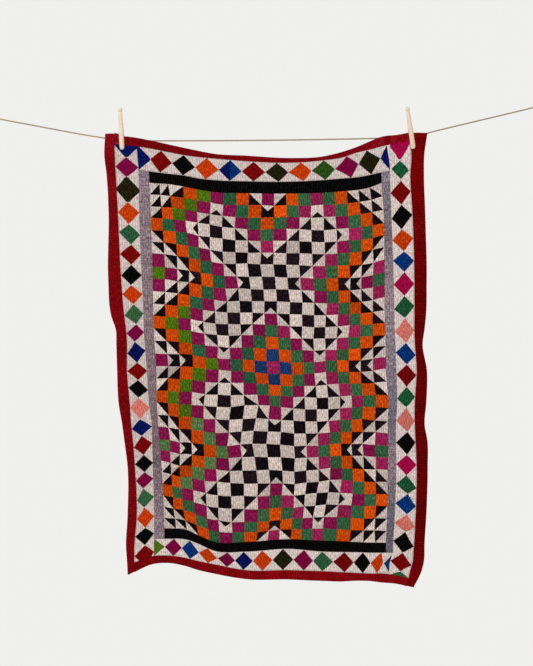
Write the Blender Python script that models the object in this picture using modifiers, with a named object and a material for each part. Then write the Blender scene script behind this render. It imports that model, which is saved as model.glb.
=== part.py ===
"""Ralli quilt held on a clothesline by two wooden dolly pegs.

Units are metres, +Z is up and -Y is the front. The origin is the middle of the left wall
eye's back face, so the wall is the plane Y = 0. The quilt's own tables are in millimetres,
measured from the plumb line through its middle and down from the level of its pegged corners.
"""

import math

import bmesh
import bpy
import numpy as np
from mathutils import Matrix

MM = 0.001

# Quilt
QUILT_MIDDLE_X = 0.731
CORNER_LEVEL_Z = -0.046
CLOTH_THICKNESS = 0.0026
BINDING_THICKNESS = 0.0032
SEAM_GAP = 0.0003

# Line and the wall eyes that hold it
LINE_DIAMETER = 0.0035
LINE_OFF_WALL = 0.040
LINE_POINTS = 76
CLEARANCE = 0.0004
EYE_SPAN = 1.464
RIGHT_EYE_RISE = 0.031
PLATE_RADIUS = 0.017
PLATE_THICKNESS = 0.004
SHANK_RADIUS = 0.003
RING_RADIUS = 0.009
RING_WIRE_RADIUS = 0.00225
KNOT_START = 0.011
KNOT_LENGTH = 0.015
KNOT_RADIUS = 0.0043
KNOT_TURNS = 4

# Pegs
PEG_LENGTH = 0.110
SLOT_DEPTH = 0.065
SLOT_WIDTH = 0.0046
LEG_SPREAD = 0.0018
SPREAD_LENGTH = 0.022
PEG_SIDES = 20

# The cloth hangs in front of the line, which the pegs' back legs press against it.
CLOTH_Y = -(LINE_OFF_WALL + LINE_DIAMETER / 2 + CLEARANCE + BINDING_THICKNESS / 2)
PEG_Y = -(LINE_OFF_WALL - LINE_DIAMETER / 2 + LINE_OFF_WALL + LINE_DIAMETER / 2
          + CLEARANCE + BINDING_THICKNESS) / 2

# Bands of the quilt: flat size in millimetres, and the cells its surface is divided into.
BANDS_ACROSS = (
    # flat width, cells
    (26, 2),      # 0 left binding
    (52, 3),      # 1 left diamond border
    (25, 1),      # 2 left lilac strip
    (602, 19),    # 3 panel
    (23, 1),      # 4 right lilac strip
    (53, 3),      # 5 right diamond border
    (28, 2),      # 6 right binding
)
BANDS_DOWN = (
    # flat height, cells
    (23, 2),      # 0 top binding
    (60, 3),      # 1 top diamond border
    (28, 1),      # 2 top black strip
    (905, 29),    # 3 panel
    (26, 1),      # 4 bottom black strip
    (58, 3),      # 5 bottom diamond border
    (24, 2),      # 6 bottom binding
)

# Seams that run down the quilt: where each stands from the plumb line, by drop.
SEAMS_DOWN = np.array((
    # drop, left edge, binding, border, strip | strip, border, binding, right edge
    (0, -417, -394, -339, -309, 300, 324, 372, 417),
    (55, -419, -393, -334, -307, 299, 322, 378, 410),
    (109, -413, -390, -330, -304, 300, 322, 375, 409),
    (198, -408, -385, -329, -300, 306, 325, 380, 412),
    (377, -408, -376, -322, -295, 308, 331, 385, 416),
    (473, -400, -368, -318, -293, 309, 333, 385, 414),
    (512, -388, -363, -317, -292, 310, 334, 385, 410),
    (543, -387, -361, -315, -290, 311, 335, 386, 406),
    (616, -385, -361, -309, -286, 312, 338, 391, 417),
    (699, -381, -354, -304, -284, 318, 340, 386, 415),
    (757, -372, -350, -297, -281, 317, 337, 386, 411),
    (796, -367, -346, -296, -277, 317, 337, 388, 418),
    (863, -359, -341, -294, -272, 317, 338, 391, 419),
    (996, -359, -336, -290, -265, 315, 334, 389, 416),
    (1079, -363, -342, -290, -263, 312, 330, 385, 412),
    (1147, -359, -341, -289, -263, 311, 329, 373, 400),
    (1178, -358, -339, -289, -263, 309, 328, 367, 385),
), dtype=float)

# Seams that run across the quilt: how far each hangs down, by distance from the plumb line.
SEAMS_ACROSS = np.array((
    # station, top edge, binding, border, black | black, border, binding, bottom edge
    (-419, 0, 25, 84, 110, 1032, 1058, 1131, 1175),
    (-359, 8, 30, 88, 116, 1030, 1054, 1119, 1147),
    (-291, 20, 40, 101, 126, 1027, 1050, 1095, 1115),
    (-250, 29, 48, 106, 132, 1027, 1049, 1094, 1112),
    (-208, 38, 56, 111, 137, 1029, 1050, 1100, 1120),
    (-179, 44, 60, 117, 143, 1043, 1060, 1108, 1130),
    (-135, 52, 64, 122, 150, 1061, 1081, 1118, 1141),
    (-52, 57, 71, 124, 153, 1063, 1084, 1134, 1156),
    (62, 63, 75, 125, 154, 1054, 1076, 1133, 1156),
    (146, 59, 69, 121, 152, 1058, 1082, 1137, 1158),
    (242, 32, 47, 109, 140, 1063, 1085, 1142, 1161),
    (291, 10, 35, 101, 129, 1064, 1085, 1145, 1162),
    (343, 3, 23, 94, 120, 1065, 1085, 1150, 1167),
    (377, -3, 16, 88, 114, 1067, 1085, 1158, 1175),
    (419, -3, 13, 83, 109, 1069, 1085, 1165, 1183),
), dtype=float)

# Soft folds: middle of each, its half width and half height, how far it comes forward,
# and how much it slants, in millimetres across for each millimetre down.
FOLDS = (
    # station, drop, half width, half height, forward, slant
    (-390, 640, 60, 330, 9, 0.02),
    (-285, 800, 75, 420, -9, 0.06),
    (-160, 560, 95, 330, 7, -0.05),
    (-20, 900, 105, 430, -8, 0.03),
    (120, 520, 90, 360, 8, 0.05),
    (245, 820, 85, 420, -9, -0.04),
    (350, 610, 60, 380, 10, -0.03),
    (400, 1120, 70, 160, -12, -0.20),
    (-250, 1110, 85, 110, 20, 0.25),
    (-385, 1090, 60, 170, -9, 0.05),
    (60, 1130, 150, 150, 9, 0.0),
    (10, 70, 190, 60, -5, 0.0),
)
FLAT_DROP = 48      # the cloth lies flat against the line down to this drop
FOLDED_DROP = 230   # and is free to fold from here down

# Where the pegs stand: station and drop of the leg tips, and the lean of the peg's head.
PEGS = {
    "left": {"station": -374, "drop": 41, "lean_deg": -3.1},
    "right": {"station": 383, "drop": 39, "lean_deg": -8.0},
}

# The line's way across: distance from the plumb line and drop, in millimetres.
LINE_ROUTE = (
    (-690, -39),
    (-600, -22),
    (-510, -5),
    (-440, 7),
    (-405, 12),
    (-376, 15),
    (-335, 16.5),
    (-200, 17),
    (-20, 16),
    (160, 13.5),
    (320, 9.5),
    (370, 7),
    (400, 2),
    (440, -8),
    (540, -32),
    (620, -51),
    (690, -68),
)

MATERIALS = {
    # red, green, blue, roughness, metallic
    "patchwork_cotton": (0.35, 0.10, 0.08, 0.90, 0.0),
    "lilac_cotton": (0.25, 0.20, 0.28, 0.90, 0.0),
    "black_cotton": (0.01, 0.01, 0.012, 0.90, 0.0),
    "diamond_cotton": (0.60, 0.55, 0.50, 0.90, 0.0),
    "red_cotton": (0.25, 0.008, 0.008, 0.90, 0.0),
    "peg_beech": (0.80, 0.60, 0.40, 0.60, 0.0),
    "line_hemp": (0.30, 0.25, 0.17, 0.85, 0.0),
    "eye_steel": (0.60, 0.60, 0.60, 0.35, 1.0),
}


def clear_scene():
    """Remove every object of the open file."""
    for thing in list(bpy.data.objects):
        bpy.data.objects.remove(thing, do_unlink=True)


def collection(name):
    """A new collection in the scene."""
    group = bpy.data.collections.new(name)
    bpy.context.scene.collection.children.link(group)
    return group


def material(name):
    """The finish called `name`, made once."""
    if name in bpy.data.materials:
        return bpy.data.materials[name]
    red, green, blue, roughness, metallic = MATERIALS[name]
    finish = bpy.data.materials.new(name)
    finish.use_nodes = True
    shader = finish.node_tree.nodes["Principled BSDF"]
    shader.inputs["Base Color"].default_value = (red, green, blue, 1.0)
    shader.inputs["Roughness"].default_value = roughness
    shader.inputs["Metallic"].default_value = metallic
    return finish


def add_object(name, data, group, finish=None):
    """An object in the collection, with its finish."""
    thing = bpy.data.objects.new(name, data)
    group.objects.link(thing)
    if finish:
        thing.data.materials.clear()
        thing.data.materials.append(material(finish))
    return thing


def mesh_from_bmesh(name, solid):
    """A mesh with the shape of `solid`, which is freed."""
    mesh = bpy.data.meshes.new(name)
    bmesh.ops.recalc_face_normals(solid, faces=solid.faces)
    solid.to_mesh(mesh)
    solid.free()
    return mesh


def evaluated_mesh(thing):
    """The mesh of `thing` with its modifiers applied and coincident points merged."""
    graph = bpy.context.evaluated_depsgraph_get()
    graph.update()
    mesh = bpy.data.meshes.new_from_object(thing.evaluated_get(graph))
    solid = bmesh.new()
    solid.from_mesh(mesh)
    bmesh.ops.remove_doubles(solid, verts=solid.verts, dist=0.00001)
    solid.to_mesh(mesh)
    solid.free()
    return mesh


def smooth_shade(mesh, angle_deg=40):
    """Shade a round piece smooth, with its corners kept."""
    mesh.shade_smooth()
    mesh.set_sharp_from_angle(angle=math.radians(angle_deg))


# ---------------------------------------------------------------- the hanging cloth

def read_lines(table, at):
    """Every line of a table read at the stations `at`, as cubic curves through its rows."""
    stations = table[:, 0]
    lines = table[:, 1:]
    slopes = np.gradient(lines, stations, axis=0)
    row = np.clip(np.searchsorted(stations, at) - 1, 0, len(stations) - 2)
    step = (stations[row + 1] - stations[row])[:, None]
    t = np.clip((at - stations[row])[:, None] / step, 0, 1)
    start = (2 * t ** 3 - 3 * t ** 2 + 1) * lines[row]
    start_slope = (t ** 3 - 2 * t ** 2 + t) * step * slopes[row]
    end = (3 * t ** 2 - 2 * t ** 3) * lines[row + 1]
    end_slope = (t ** 3 - t ** 2) * step * slopes[row + 1]
    return start + start_slope + end + end_slope


def between_seams(lines, place):
    """Straight between the seams on each side; `place` counts seams, 2.5 being mid-band 2."""
    band = np.clip(place.astype(int), 0, lines.shape[1] - 2)
    share = place - band
    point = np.arange(len(place))
    return lines[point, band] * (1 - share) + lines[point, band + 1] * share


def fold_depth(station, drop):
    """How far forward the cloth stands: a sum of long slanting bell-shaped folds."""
    forward = np.zeros_like(station)
    for middle, level, half_width, half_height, depth, slant in FOLDS:
        beside = (station - middle - slant * (drop - level)) / half_width
        below = (drop - level) / half_height
        forward += depth * np.exp(-beside ** 2 - below ** 2)
    free = np.clip((drop - FLAT_DROP) / (FOLDED_DROP - FLAT_DROP), 0, 1)
    return forward * free * free * (3 - 2 * free)


def hang(across, down):
    """World points of the cloth's middle surface for places counted in seams.

    A point lies where its own line down the quilt crosses its own line across it.
    """
    station = np.zeros_like(across)
    for _ in range(6):
        drop = between_seams(read_lines(SEAMS_ACROSS, station), down)
        station = between_seams(read_lines(SEAMS_DOWN, drop), across)
    x = QUILT_MIDDLE_X + station * MM
    y = CLOTH_Y - fold_depth(station, drop) * MM
    z = CORNER_LEVEL_Z - drop * MM
    return np.column_stack((x, y, z))


def band_places(bands, first, last):
    """Cell lines of bands `first` to `last`, in seams, drawn in by half a seam gap."""
    places = []
    for band in range(first, last + 1):
        cells = bands[band][1]
        places.extend(band + cell / cells for cell in range(cells))
    places.append(last + 1.0)
    if first > 0:
        places[0] += SEAM_GAP / 2 / (bands[first][0] * MM)
    if last < len(bands) - 1:
        places[-1] -= SEAM_GAP / 2 / (bands[last][0] * MM)
    return np.array(places)


def cloth_piece(name, group, finish, columns, rows, thickness):
    """One cut piece of cloth: a grid laid on the hanging surface, then given its thickness."""
    across = band_places(BANDS_ACROSS, *columns)
    down = band_places(BANDS_DOWN, *rows)
    sheet = bmesh.new()
    bmesh.ops.create_grid(sheet, x_segments=len(across) - 1, y_segments=len(down) - 1,
                          size=0.5)
    sheet.verts.ensure_lookup_table()
    column = np.array([round((v.co.x + 0.5) * (len(across) - 1)) for v in sheet.verts])
    row = np.array([round((0.5 - v.co.y) * (len(down) - 1)) for v in sheet.verts])
    points = hang(across[column], down[row])
    for vertex, point in zip(sheet.verts, points):
        vertex.co = point
    bmesh.ops.reverse_faces(sheet, faces=[f for f in sheet.faces if f.normal.y > 0])
    mesh = bpy.data.meshes.new(name)
    sheet.normal_update()
    sheet.to_mesh(mesh)
    sheet.free()
    mesh.shade_smooth()
    piece = add_object(name, mesh, group, finish)
    solidify = piece.modifiers.new("cloth thickness", "SOLIDIFY")
    solidify.thickness = thickness
    solidify.offset = 0.0
    solidify.use_even_offset = True
    return piece


def make_quilt(group):
    """Every cut piece of the quilt, from the panel out to the bindings."""
    pieces = (
        # name, finish, bands across, bands down, thickness
        ("centre_panel", "patchwork_cotton", (3, 3), (3, 3), CLOTH_THICKNESS),
        ("black_strip_top", "black_cotton", (3, 3), (2, 2), CLOTH_THICKNESS),
        ("black_strip_bottom", "black_cotton", (3, 3), (4, 4), CLOTH_THICKNESS),
        ("lilac_strip_left", "lilac_cotton", (2, 2), (2, 4), CLOTH_THICKNESS),
        ("lilac_strip_right", "lilac_cotton", (4, 4), (2, 4), CLOTH_THICKNESS),
        ("diamond_border_top", "diamond_cotton", (2, 4), (1, 1), CLOTH_THICKNESS),
        ("diamond_border_bottom", "diamond_cotton", (2, 4), (5, 5), CLOTH_THICKNESS),
        ("diamond_border_left", "diamond_cotton", (1, 1), (1, 5), CLOTH_THICKNESS),
        ("diamond_border_right", "diamond_cotton", (5, 5), (1, 5), CLOTH_THICKNESS),
        ("binding_top", "red_cotton", (1, 5), (0, 0), BINDING_THICKNESS),
        ("binding_bottom", "red_cotton", (1, 5), (6, 6), BINDING_THICKNESS),
        ("binding_left", "red_cotton", (0, 0), (0, 6), BINDING_THICKNESS),
        ("binding_right", "red_cotton", (6, 6), (0, 6), BINDING_THICKNESS),
    )
    for name, finish, columns, rows, thickness in pieces:
        cloth_piece(name, group, finish, columns, rows, thickness)


# ---------------------------------------------------------------- turned pieces

def turned(name, profile, group, finish, sides):
    """A solid turned about Z from a profile that runs down its outer side."""
    outline = bmesh.new()
    corners = [outline.verts.new((radius, 0.0, height)) for radius, height in profile]
    for upper, lower in zip(corners, corners[1:]):
        outline.edges.new((upper, lower))
    mesh = bpy.data.meshes.new(name)
    outline.to_mesh(mesh)
    outline.free()
    piece = add_object(name, mesh, group, finish)
    screw = piece.modifiers.new("turn", "SCREW")
    screw.steps = sides
    screw.render_steps = sides
    screw.use_merge_vertices = True
    screw.merge_threshold = 0.00001
    return piece


def peg_profile():
    """The peg's outline from the top of its ball head to the rounded tips of its legs."""
    head = [(0.0062 * math.sin(math.radians(a)),
             PEG_LENGTH - 0.0062 * (1 - math.cos(math.radians(a))))
            for a in range(0, 141, 20)]
    body = [
        # radius, height
        (0.0043, PEG_LENGTH - 0.0125),
        (0.0056, PEG_LENGTH - 0.0160),
        (0.0064, PEG_LENGTH - 0.0220),
        (0.0067, PEG_LENGTH - 0.0340),
        (0.0069, SLOT_DEPTH - 0.0010),
        (0.0071, SLOT_DEPTH - 0.0090),
        (0.0073, SLOT_DEPTH - 0.0170),
        (0.0074, SLOT_DEPTH - 0.0250),
        (0.0074, 0.0300),
        (0.0074, 0.0180),
        (0.0072, 0.0090),
        (0.0066, 0.0040),
        (0.0052, 0.0012),
        (0.0028, 0.0002),
    ]
    return head + body + [(0.0, 0.0)]


def spread_legs(mesh):
    """Open the two legs, so that the slot grows from its root down to where it grips."""
    solid = bmesh.new()
    solid.from_mesh(mesh)
    for height in (0.046, 0.050, 0.054, 0.058, 0.062):
        everything = list(solid.verts) + list(solid.edges) + list(solid.faces)
        bmesh.ops.bisect_plane(solid, geom=everything, plane_co=(0, 0, height),
                               plane_no=(0, 0, 1), dist=0.00001)
    for vertex in solid.verts:
        below = min(max((SLOT_DEPTH - vertex.co.z) / SPREAD_LENGTH, 0.0), 1.0)
        side = math.copysign(1.0, vertex.co.y)
        vertex.co.y += side * LEG_SPREAD * math.sin(below * math.pi / 2)
    solid.to_mesh(mesh)
    solid.free()


def make_pegs(group, cutters):
    """Two slotted dolly pegs, pushed down over the quilt's top edge and the line."""
    blank = turned("peg_blank", peg_profile(), cutters, None, PEG_SIDES)
    slot = bmesh.new()
    bmesh.ops.create_cube(slot, size=1.0)
    for vertex in slot.verts:
        vertex.co.x *= 0.03
        vertex.co.y *= SLOT_WIDTH
        vertex.co.z = SLOT_DEPTH if vertex.co.z > 0 else -0.01
    cutter = add_object("slot_cutter", mesh_from_bmesh("slot_cutter", slot), cutters)
    saw = blank.modifiers.new("saw the slot", "BOOLEAN")
    saw.operation = "DIFFERENCE"
    saw.object = cutter
    mesh = evaluated_mesh(blank)
    spread_legs(mesh)
    smooth_shade(mesh)
    for guide in (blank, cutter):
        guide.hide_render = True
        guide.display_type = "WIRE"
    for side, place in PEGS.items():
        peg = add_object("peg_" + side, mesh.copy(), group, "peg_beech")
        peg.location = (QUILT_MIDDLE_X + place["station"] * MM, PEG_Y,
                        CORNER_LEVEL_Z - place["drop"] * MM)
        peg.rotation_euler = (0.0, math.radians(place["lean_deg"]), 0.0)


# ---------------------------------------------------------------- line, knots and eyes

def route_curve(points, count):
    """`count` points evenly along a smooth curve through the route's own points."""
    way = np.array(points, dtype=float)
    chord = np.concatenate(([0.0], np.cumsum(np.linalg.norm(np.diff(way, axis=0), axis=1))))
    table = np.column_stack((chord, way))
    return read_lines(table, np.linspace(0.0, chord[-1], count))


def tube(name, points, radius, group, finish):
    """A round tube along `points`, with filled ends."""
    curve = bpy.data.curves.new(name, "CURVE")
    curve.dimensions = "3D"
    curve.bevel_depth = radius
    curve.bevel_resolution = 2
    curve.use_fill_caps = True
    spline = curve.splines.new("POLY")
    spline.points.add(len(points) - 1)
    for spot, point in zip(spline.points, points):
        spot.co = (*point, 1.0)
    return add_object(name, curve, group, finish)


def eye_ring_side(side):
    """Middle of the ring's wire on the side that the line pulls."""
    if side == "left":
        return np.array((RING_RADIUS, -LINE_OFF_WALL, 0.0))
    return np.array((EYE_SPAN - RING_RADIUS, -LINE_OFF_WALL, RIGHT_EYE_RISE))


def line_points():
    """The line's centre, from one knot's face to the other's."""
    inner = [(QUILT_MIDDLE_X + station * MM, CORNER_LEVEL_Z - drop * MM)
             for station, drop in LINE_ROUTE]
    route = [(x, -LINE_OFF_WALL, z) for x, z in inner]
    ends = []
    for side, nearest in (("left", route[0]), ("right", route[-1])):
        start = eye_ring_side(side)
        way = np.array(nearest) - start
        way /= np.linalg.norm(way)
        ends.append(tuple(start + way * (KNOT_START + KNOT_LENGTH + SEAM_GAP)))
    return route_curve([ends[0]] + route + [ends[1]], LINE_POINTS)


def make_line(group):
    """The clothesline, taut between its two knots."""
    tube("clothesline", line_points(), LINE_DIAMETER / 2, group, "line_hemp")


def knot_profile():
    """Turns of cord wound side by side: a barrel with one round ridge for each turn."""
    step = KNOT_LENGTH / KNOT_TURNS
    ridge = [(0.0, KNOT_LENGTH), (0.0024, KNOT_LENGTH)]
    for turn in range(KNOT_TURNS):
        top = KNOT_LENGTH - turn * step
        ridge += [(KNOT_RADIUS - 0.0006, top - 0.12 * step),
                  (KNOT_RADIUS, top - 0.35 * step),
                  (KNOT_RADIUS, top - 0.65 * step),
                  (KNOT_RADIUS - 0.0006, top - 0.88 * step)]
    return ridge + [(0.0024, 0.0), (0.0, 0.0)]


def loop_points():
    """The loop round the ring's wire, whose two legs go into the knot."""
    bend = RING_WIRE_RADIUS + 0.0005 + LINE_DIAMETER / 2
    legs = KNOT_START + 0.002
    around = [(bend * math.cos(a), 0.0, bend * math.sin(a))
              for a in np.radians(np.arange(65, 296, 11.5))]
    return [(legs, 0.0, 0.0021)] + around + [(legs, 0.0, -0.0021)]


def union(name, parts, group, finish):
    """One solid from several that overlap, placed as they are; they are then removed."""
    first = parts[0]
    for other in parts[1:]:
        join = first.modifiers.new("join " + other.name, "BOOLEAN")
        join.operation = "UNION"
        join.object = other
    mesh = evaluated_mesh(first)
    mesh.transform(first.matrix_world)
    for part in parts:
        bpy.data.objects.remove(part, do_unlink=True)
    smooth_shade(mesh)
    return add_object(name, mesh, group, finish)


def as_mesh_object(curve_object, group):
    """A curve object made a closed mesh object of the same shape."""
    mesh = evaluated_mesh(curve_object)
    name = curve_object.name + "_solid"
    bpy.data.objects.remove(curve_object, do_unlink=True)
    return add_object(name, mesh, group)


def make_knots(group, cutters):
    """At each end of the line, a loop round the eye's ring and the knot that closes it."""
    line = line_points()
    for side, end in (("left", line[0]), ("right", line[-1])):
        barrel = turned("barrel", knot_profile(), cutters, None, 14)
        barrel.rotation_euler = (0.0, math.pi / 2, 0.0)
        barrel.location = (KNOT_START, 0.0, 0.0)
        loop = as_mesh_object(tube("loop", loop_points(), LINE_DIAMETER / 2, cutters, None),
                              cutters)
        body = add_object("barrel_solid", evaluated_mesh(barrel), cutters)
        body.matrix_world = barrel.matrix_basis
        bpy.data.objects.remove(barrel, do_unlink=True)
        knot = union("line_knot_" + side, [body, loop], group, "line_hemp")
        start = eye_ring_side(side)
        way = end - start
        knot.matrix_basis = Matrix.Translation(start) @ body_turn(way)


def body_turn(way):
    """Rotation about Y that takes +X to the direction `way` in the XZ plane."""
    return Matrix.Rotation(-math.atan2(way[2], way[0]), 4, "Y")


def make_eyes(group, cutters):
    """Two wall eyes: a round plate against the wall, a shank and a level ring."""
    for side, middle_x, height in (("left", 0.0, 0.0), ("right", EYE_SPAN, RIGHT_EYE_RISE)):
        plate = bmesh.new()
        bmesh.ops.create_cone(plate, cap_ends=True, segments=32, radius1=PLATE_RADIUS,
                              radius2=PLATE_RADIUS - 0.0008, depth=PLATE_THICKNESS)
        shank_length = LINE_OFF_WALL - RING_RADIUS - PLATE_THICKNESS / 2
        shank = bmesh.new()
        bmesh.ops.create_cone(shank, cap_ends=True, segments=16, radius1=SHANK_RADIUS,
                              radius2=SHANK_RADIUS, depth=shank_length)
        plate_piece = add_object("plate", mesh_from_bmesh("plate", plate), cutters)
        shank_piece = add_object("shank", mesh_from_bmesh("shank", shank), cutters)
        bpy.ops.mesh.primitive_torus_add(major_radius=RING_RADIUS, minor_radius=RING_WIRE_RADIUS,
                                         major_segments=28, minor_segments=10,
                                         rotation=(0.0, 0.0, math.radians(6.0)))
        ring_piece = bpy.context.active_object
        for piece, distance in ((plate_piece, PLATE_THICKNESS / 2),
                                (shank_piece, PLATE_THICKNESS / 2 + shank_length / 2)):
            piece.rotation_euler = (math.pi / 2, 0.0, 0.0)
            piece.location = (0.0, -distance, 0.0)
        ring_piece.location = (0.0, -LINE_OFF_WALL, 0.0)
        eye = union("wall_eye_" + side, [plate_piece, shank_piece, ring_piece], group,
                    "eye_steel")
        eye.location = (middle_x, 0.0, height)


def main():
    clear_scene()
    quilt = collection("ralli_quilt_on_line")
    cutters = collection("cutters")
    make_quilt(quilt)
    make_pegs(quilt, cutters)
    make_line(quilt)
    make_knots(quilt, cutters)
    make_eyes(quilt, cutters)


main()
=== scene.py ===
"""Looks of the ralli quilt that hangs from its clothesline on two dolly pegs.

Units are metres, +Z is up and -Y is the front. The quilt's own tables are in millimetres,
measured from the plumb line through its middle and down from the level of its pegged corners.
"""

import math

import bmesh
import bpy
import numpy as np
from bpy.props import FloatProperty, FloatVectorProperty, IntProperty, PointerProperty
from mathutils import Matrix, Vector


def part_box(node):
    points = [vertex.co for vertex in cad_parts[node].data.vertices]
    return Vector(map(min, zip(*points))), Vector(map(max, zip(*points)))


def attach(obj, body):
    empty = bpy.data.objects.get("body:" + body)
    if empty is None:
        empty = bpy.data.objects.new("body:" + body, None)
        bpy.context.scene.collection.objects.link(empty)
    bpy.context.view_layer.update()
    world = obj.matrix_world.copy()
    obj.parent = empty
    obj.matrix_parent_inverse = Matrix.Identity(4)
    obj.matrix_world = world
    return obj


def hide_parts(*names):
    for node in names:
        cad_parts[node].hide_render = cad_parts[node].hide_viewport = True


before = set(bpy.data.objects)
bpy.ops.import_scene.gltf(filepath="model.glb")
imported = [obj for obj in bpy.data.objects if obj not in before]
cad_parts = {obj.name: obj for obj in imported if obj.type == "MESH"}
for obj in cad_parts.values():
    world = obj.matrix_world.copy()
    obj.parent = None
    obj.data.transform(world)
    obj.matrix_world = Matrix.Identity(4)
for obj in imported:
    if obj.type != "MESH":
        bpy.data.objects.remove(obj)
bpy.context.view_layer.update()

bl_info = {
    "name": "Ralli quilt on a clothesline",
    "version": (1, 0, 0),
    "blender": (4, 5, 0),
    "location": "View3D > Sidebar > Ralli quilt",
    "description": "Builds the pieced quilt, its pegs, its line and the wall eyes",
    "category": "Add Mesh",
}

MM = 0.001

# The quilt's place and its thicknesses
QUILT_MIDDLE_X = 0.731
CORNER_LEVEL_Z = -0.046
CLOTH_THICKNESS = 0.0026
BINDING_THICKNESS = 0.0032

# The line and what holds it
LINE_DIAMETER = 0.0035
LINE_OFF_WALL = 0.040
CLEARANCE = 0.0004
RING_RADIUS = 0.009
RING_WIRE_RADIUS = 0.00225
KNOT_START = 0.011
KNOT_LENGTH = 0.015
SEAM_GAP = 0.0003
LEFT_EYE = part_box("wall_eye_left")
RIGHT_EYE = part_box("wall_eye_right")
EYE_MIDDLES = {
    "left": (LEFT_EYE[0] + LEFT_EYE[1]) / 2,
    "right": (RIGHT_EYE[0] + RIGHT_EYE[1]) / 2,
}

# Pegs
PEG_LENGTH = 0.110
SLOT_DEPTH = 0.065
SLOT_WIDTH = 0.0046
LEG_SPREAD = 0.0018
SPREAD_LENGTH = 0.022

CLOTH_Y = -(LINE_OFF_WALL + LINE_DIAMETER / 2 + CLEARANCE + BINDING_THICKNESS / 2)
PEG_Y = -(2 * LINE_OFF_WALL + CLEARANCE + BINDING_THICKNESS) / 2

# Flat width of each band across the quilt and flat height of each band down it, in mm:
# binding, diamond border, strip, panel, strip, diamond border, binding.
WIDTHS = np.array((26, 52, 25, 602, 23, 53, 28), dtype=float)
HEIGHTS = np.array((23, 60, 28, 905, 26, 58, 24), dtype=float)
PATCH_COLUMNS = 19
PATCH_ROWS = 29
SEAMS = np.arange(8)   # seams are numbered from the quilt's own edge, across and down

# Small sizes of the sewing, in mm
SEAM_BELL = 1.3
BINDING_RIB = 6.4
BINDING_END = 1.6
BINDING_OVERHANG = 1.5
LILAC_RIB = 6.8
STITCH_RISE = 0.28
STITCH_SINK = 0.12
STITCH_HALF_WIDTH = 0.34
STITCHES_FROM_SIDE = 2.2
STITCHES_FROM_END = 2.5

# The studio floor
FLOOR_RADIUS = 1.2
FLOOR_SIDES = 64
FLOOR_Y = -0.4

# Seams that run down the quilt: where each stands from the plumb line, by drop.
SEAMS_DOWN = np.array((
    # drop, left edge, binding, border, strip | strip, border, binding, right edge
    (0, -417, -394, -339, -309, 300, 324, 372, 417),
    (55, -419, -393, -334, -307, 299, 322, 378, 410),
    (109, -413, -390, -330, -304, 300, 322, 375, 409),
    (198, -408, -385, -329, -300, 306, 325, 380, 412),
    (377, -408, -376, -322, -295, 308, 331, 385, 416),
    (473, -400, -368, -318, -293, 309, 333, 385, 414),
    (512, -388, -363, -317, -292, 310, 334, 385, 410),
    (543, -387, -361, -315, -290, 311, 335, 386, 406),
    (616, -385, -361, -309, -286, 312, 338, 391, 417),
    (699, -381, -354, -304, -284, 318, 340, 386, 415),
    (757, -372, -350, -297, -281, 317, 337, 386, 411),
    (796, -367, -346, -296, -277, 317, 337, 388, 418),
    (863, -359, -341, -294, -272, 317, 338, 391, 419),
    (996, -359, -336, -290, -265, 315, 334, 389, 416),
    (1079, -363, -342, -290, -263, 312, 330, 385, 412),
    (1093, -362, -342, -290, -263, 312, 330, 384, 412),
    (1109, -361, -342, -290, -263, 312, 323, 383, 411),
    (1147, -359, -341, -289, -263, 311, 321, 373, 401),
    (1178, -358, -339, -289, -263, 309, 320, 367, 385),
), dtype=float)

# Seams that run across the quilt: how far each hangs down, by distance from the plumb line.
SEAMS_ACROSS = np.array((
    # station, top edge, binding, border, black | black, border, binding, bottom edge
    (-419, -1, 25, 82, 111, 1031, 1060, 1131, 1175),
    (-388, 0, 27, 84, 114, 1030, 1058, 1125, 1161),
    (-370, 7, 29, 85, 116, 1029, 1057, 1121, 1152),
    (-359, 8, 30, 87, 118, 1028, 1056, 1119, 1147),
    (-291, 20, 40, 99, 128, 1025, 1052, 1095, 1115),
    (-250, 29, 48, 104, 131, 1025, 1051, 1094, 1112),
    (-208, 38, 56, 109, 138, 1028, 1053, 1100, 1120),
    (-179, 44, 60, 115, 144, 1041, 1063, 1108, 1130),
    (-135, 52, 64, 120, 151, 1060, 1083, 1118, 1141),
    (-52, 57, 71, 123, 154, 1061, 1086, 1134, 1156),
    (62, 63, 75, 124, 155, 1053, 1078, 1133, 1156),
    (146, 59, 69, 120, 153, 1057, 1085, 1136, 1160),
    (195, 48, 62, 116, 149, 1059, 1087, 1139, 1162),
    (242, 32, 47, 112, 145, 1062, 1088, 1142, 1161),
    (273, 19, 40, 106, 138, 1063, 1089, 1143, 1162),
    (299, 9, 33, 100, 128, 1063, 1089, 1143, 1165),
    (343, 3, 23, 92, 121, 1064, 1089, 1149, 1170),
    (377, -3, 16, 87, 115, 1066, 1089, 1158, 1179),
    (419, -3, 13, 82, 110, 1068, 1089, 1167, 1188),
), dtype=float)

# How far the seams between patches wander from even spacing, in mm: aside at the seams
# numbered below, and down at them. The panel's own edges stay where they are.
WANDER_COLUMNS = (0, 2, 5, 8, 11, 14, 17, 19)
WANDER_ROWS = (0, 3, 6, 9, 12, 15, 18, 21, 24, 27, 29)
WANDER_ASIDE = np.array((
    (0, -13.5, -0.5, 4, 4, 2, 1.5, 0),
    (0, -4.5, -8, -5.5, 1.5, 2, 4, 0),
    (0, 2.5, -5.5, -5.5, -0.5, 5.5, 5.5, 0),
    (0, 1, 0.5, 4.5, 6.5, 9.5, 3.5, 0),
    (0, 1.5, 5.5, 5, 6, 0, -1.5, 0),
    (0, 1, 6, 5.5, 8, 0.5, -3, 0),
    (0, -6, -3.5, 10.5, 6, 2.5, -2.5, 0),
    (0, -10.5, -12, -8.5, 7, 5.5, -2.5, 0),
    (0, -16, -13.5, 0.5, 5, 5, 0.5, 0),
    (0, -10, -11.5, -0.5, -3, -13, 1, 0),
    (0, -2, -7, -5, -6.5, -15, 2.5, 0),
), dtype=float)
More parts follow.
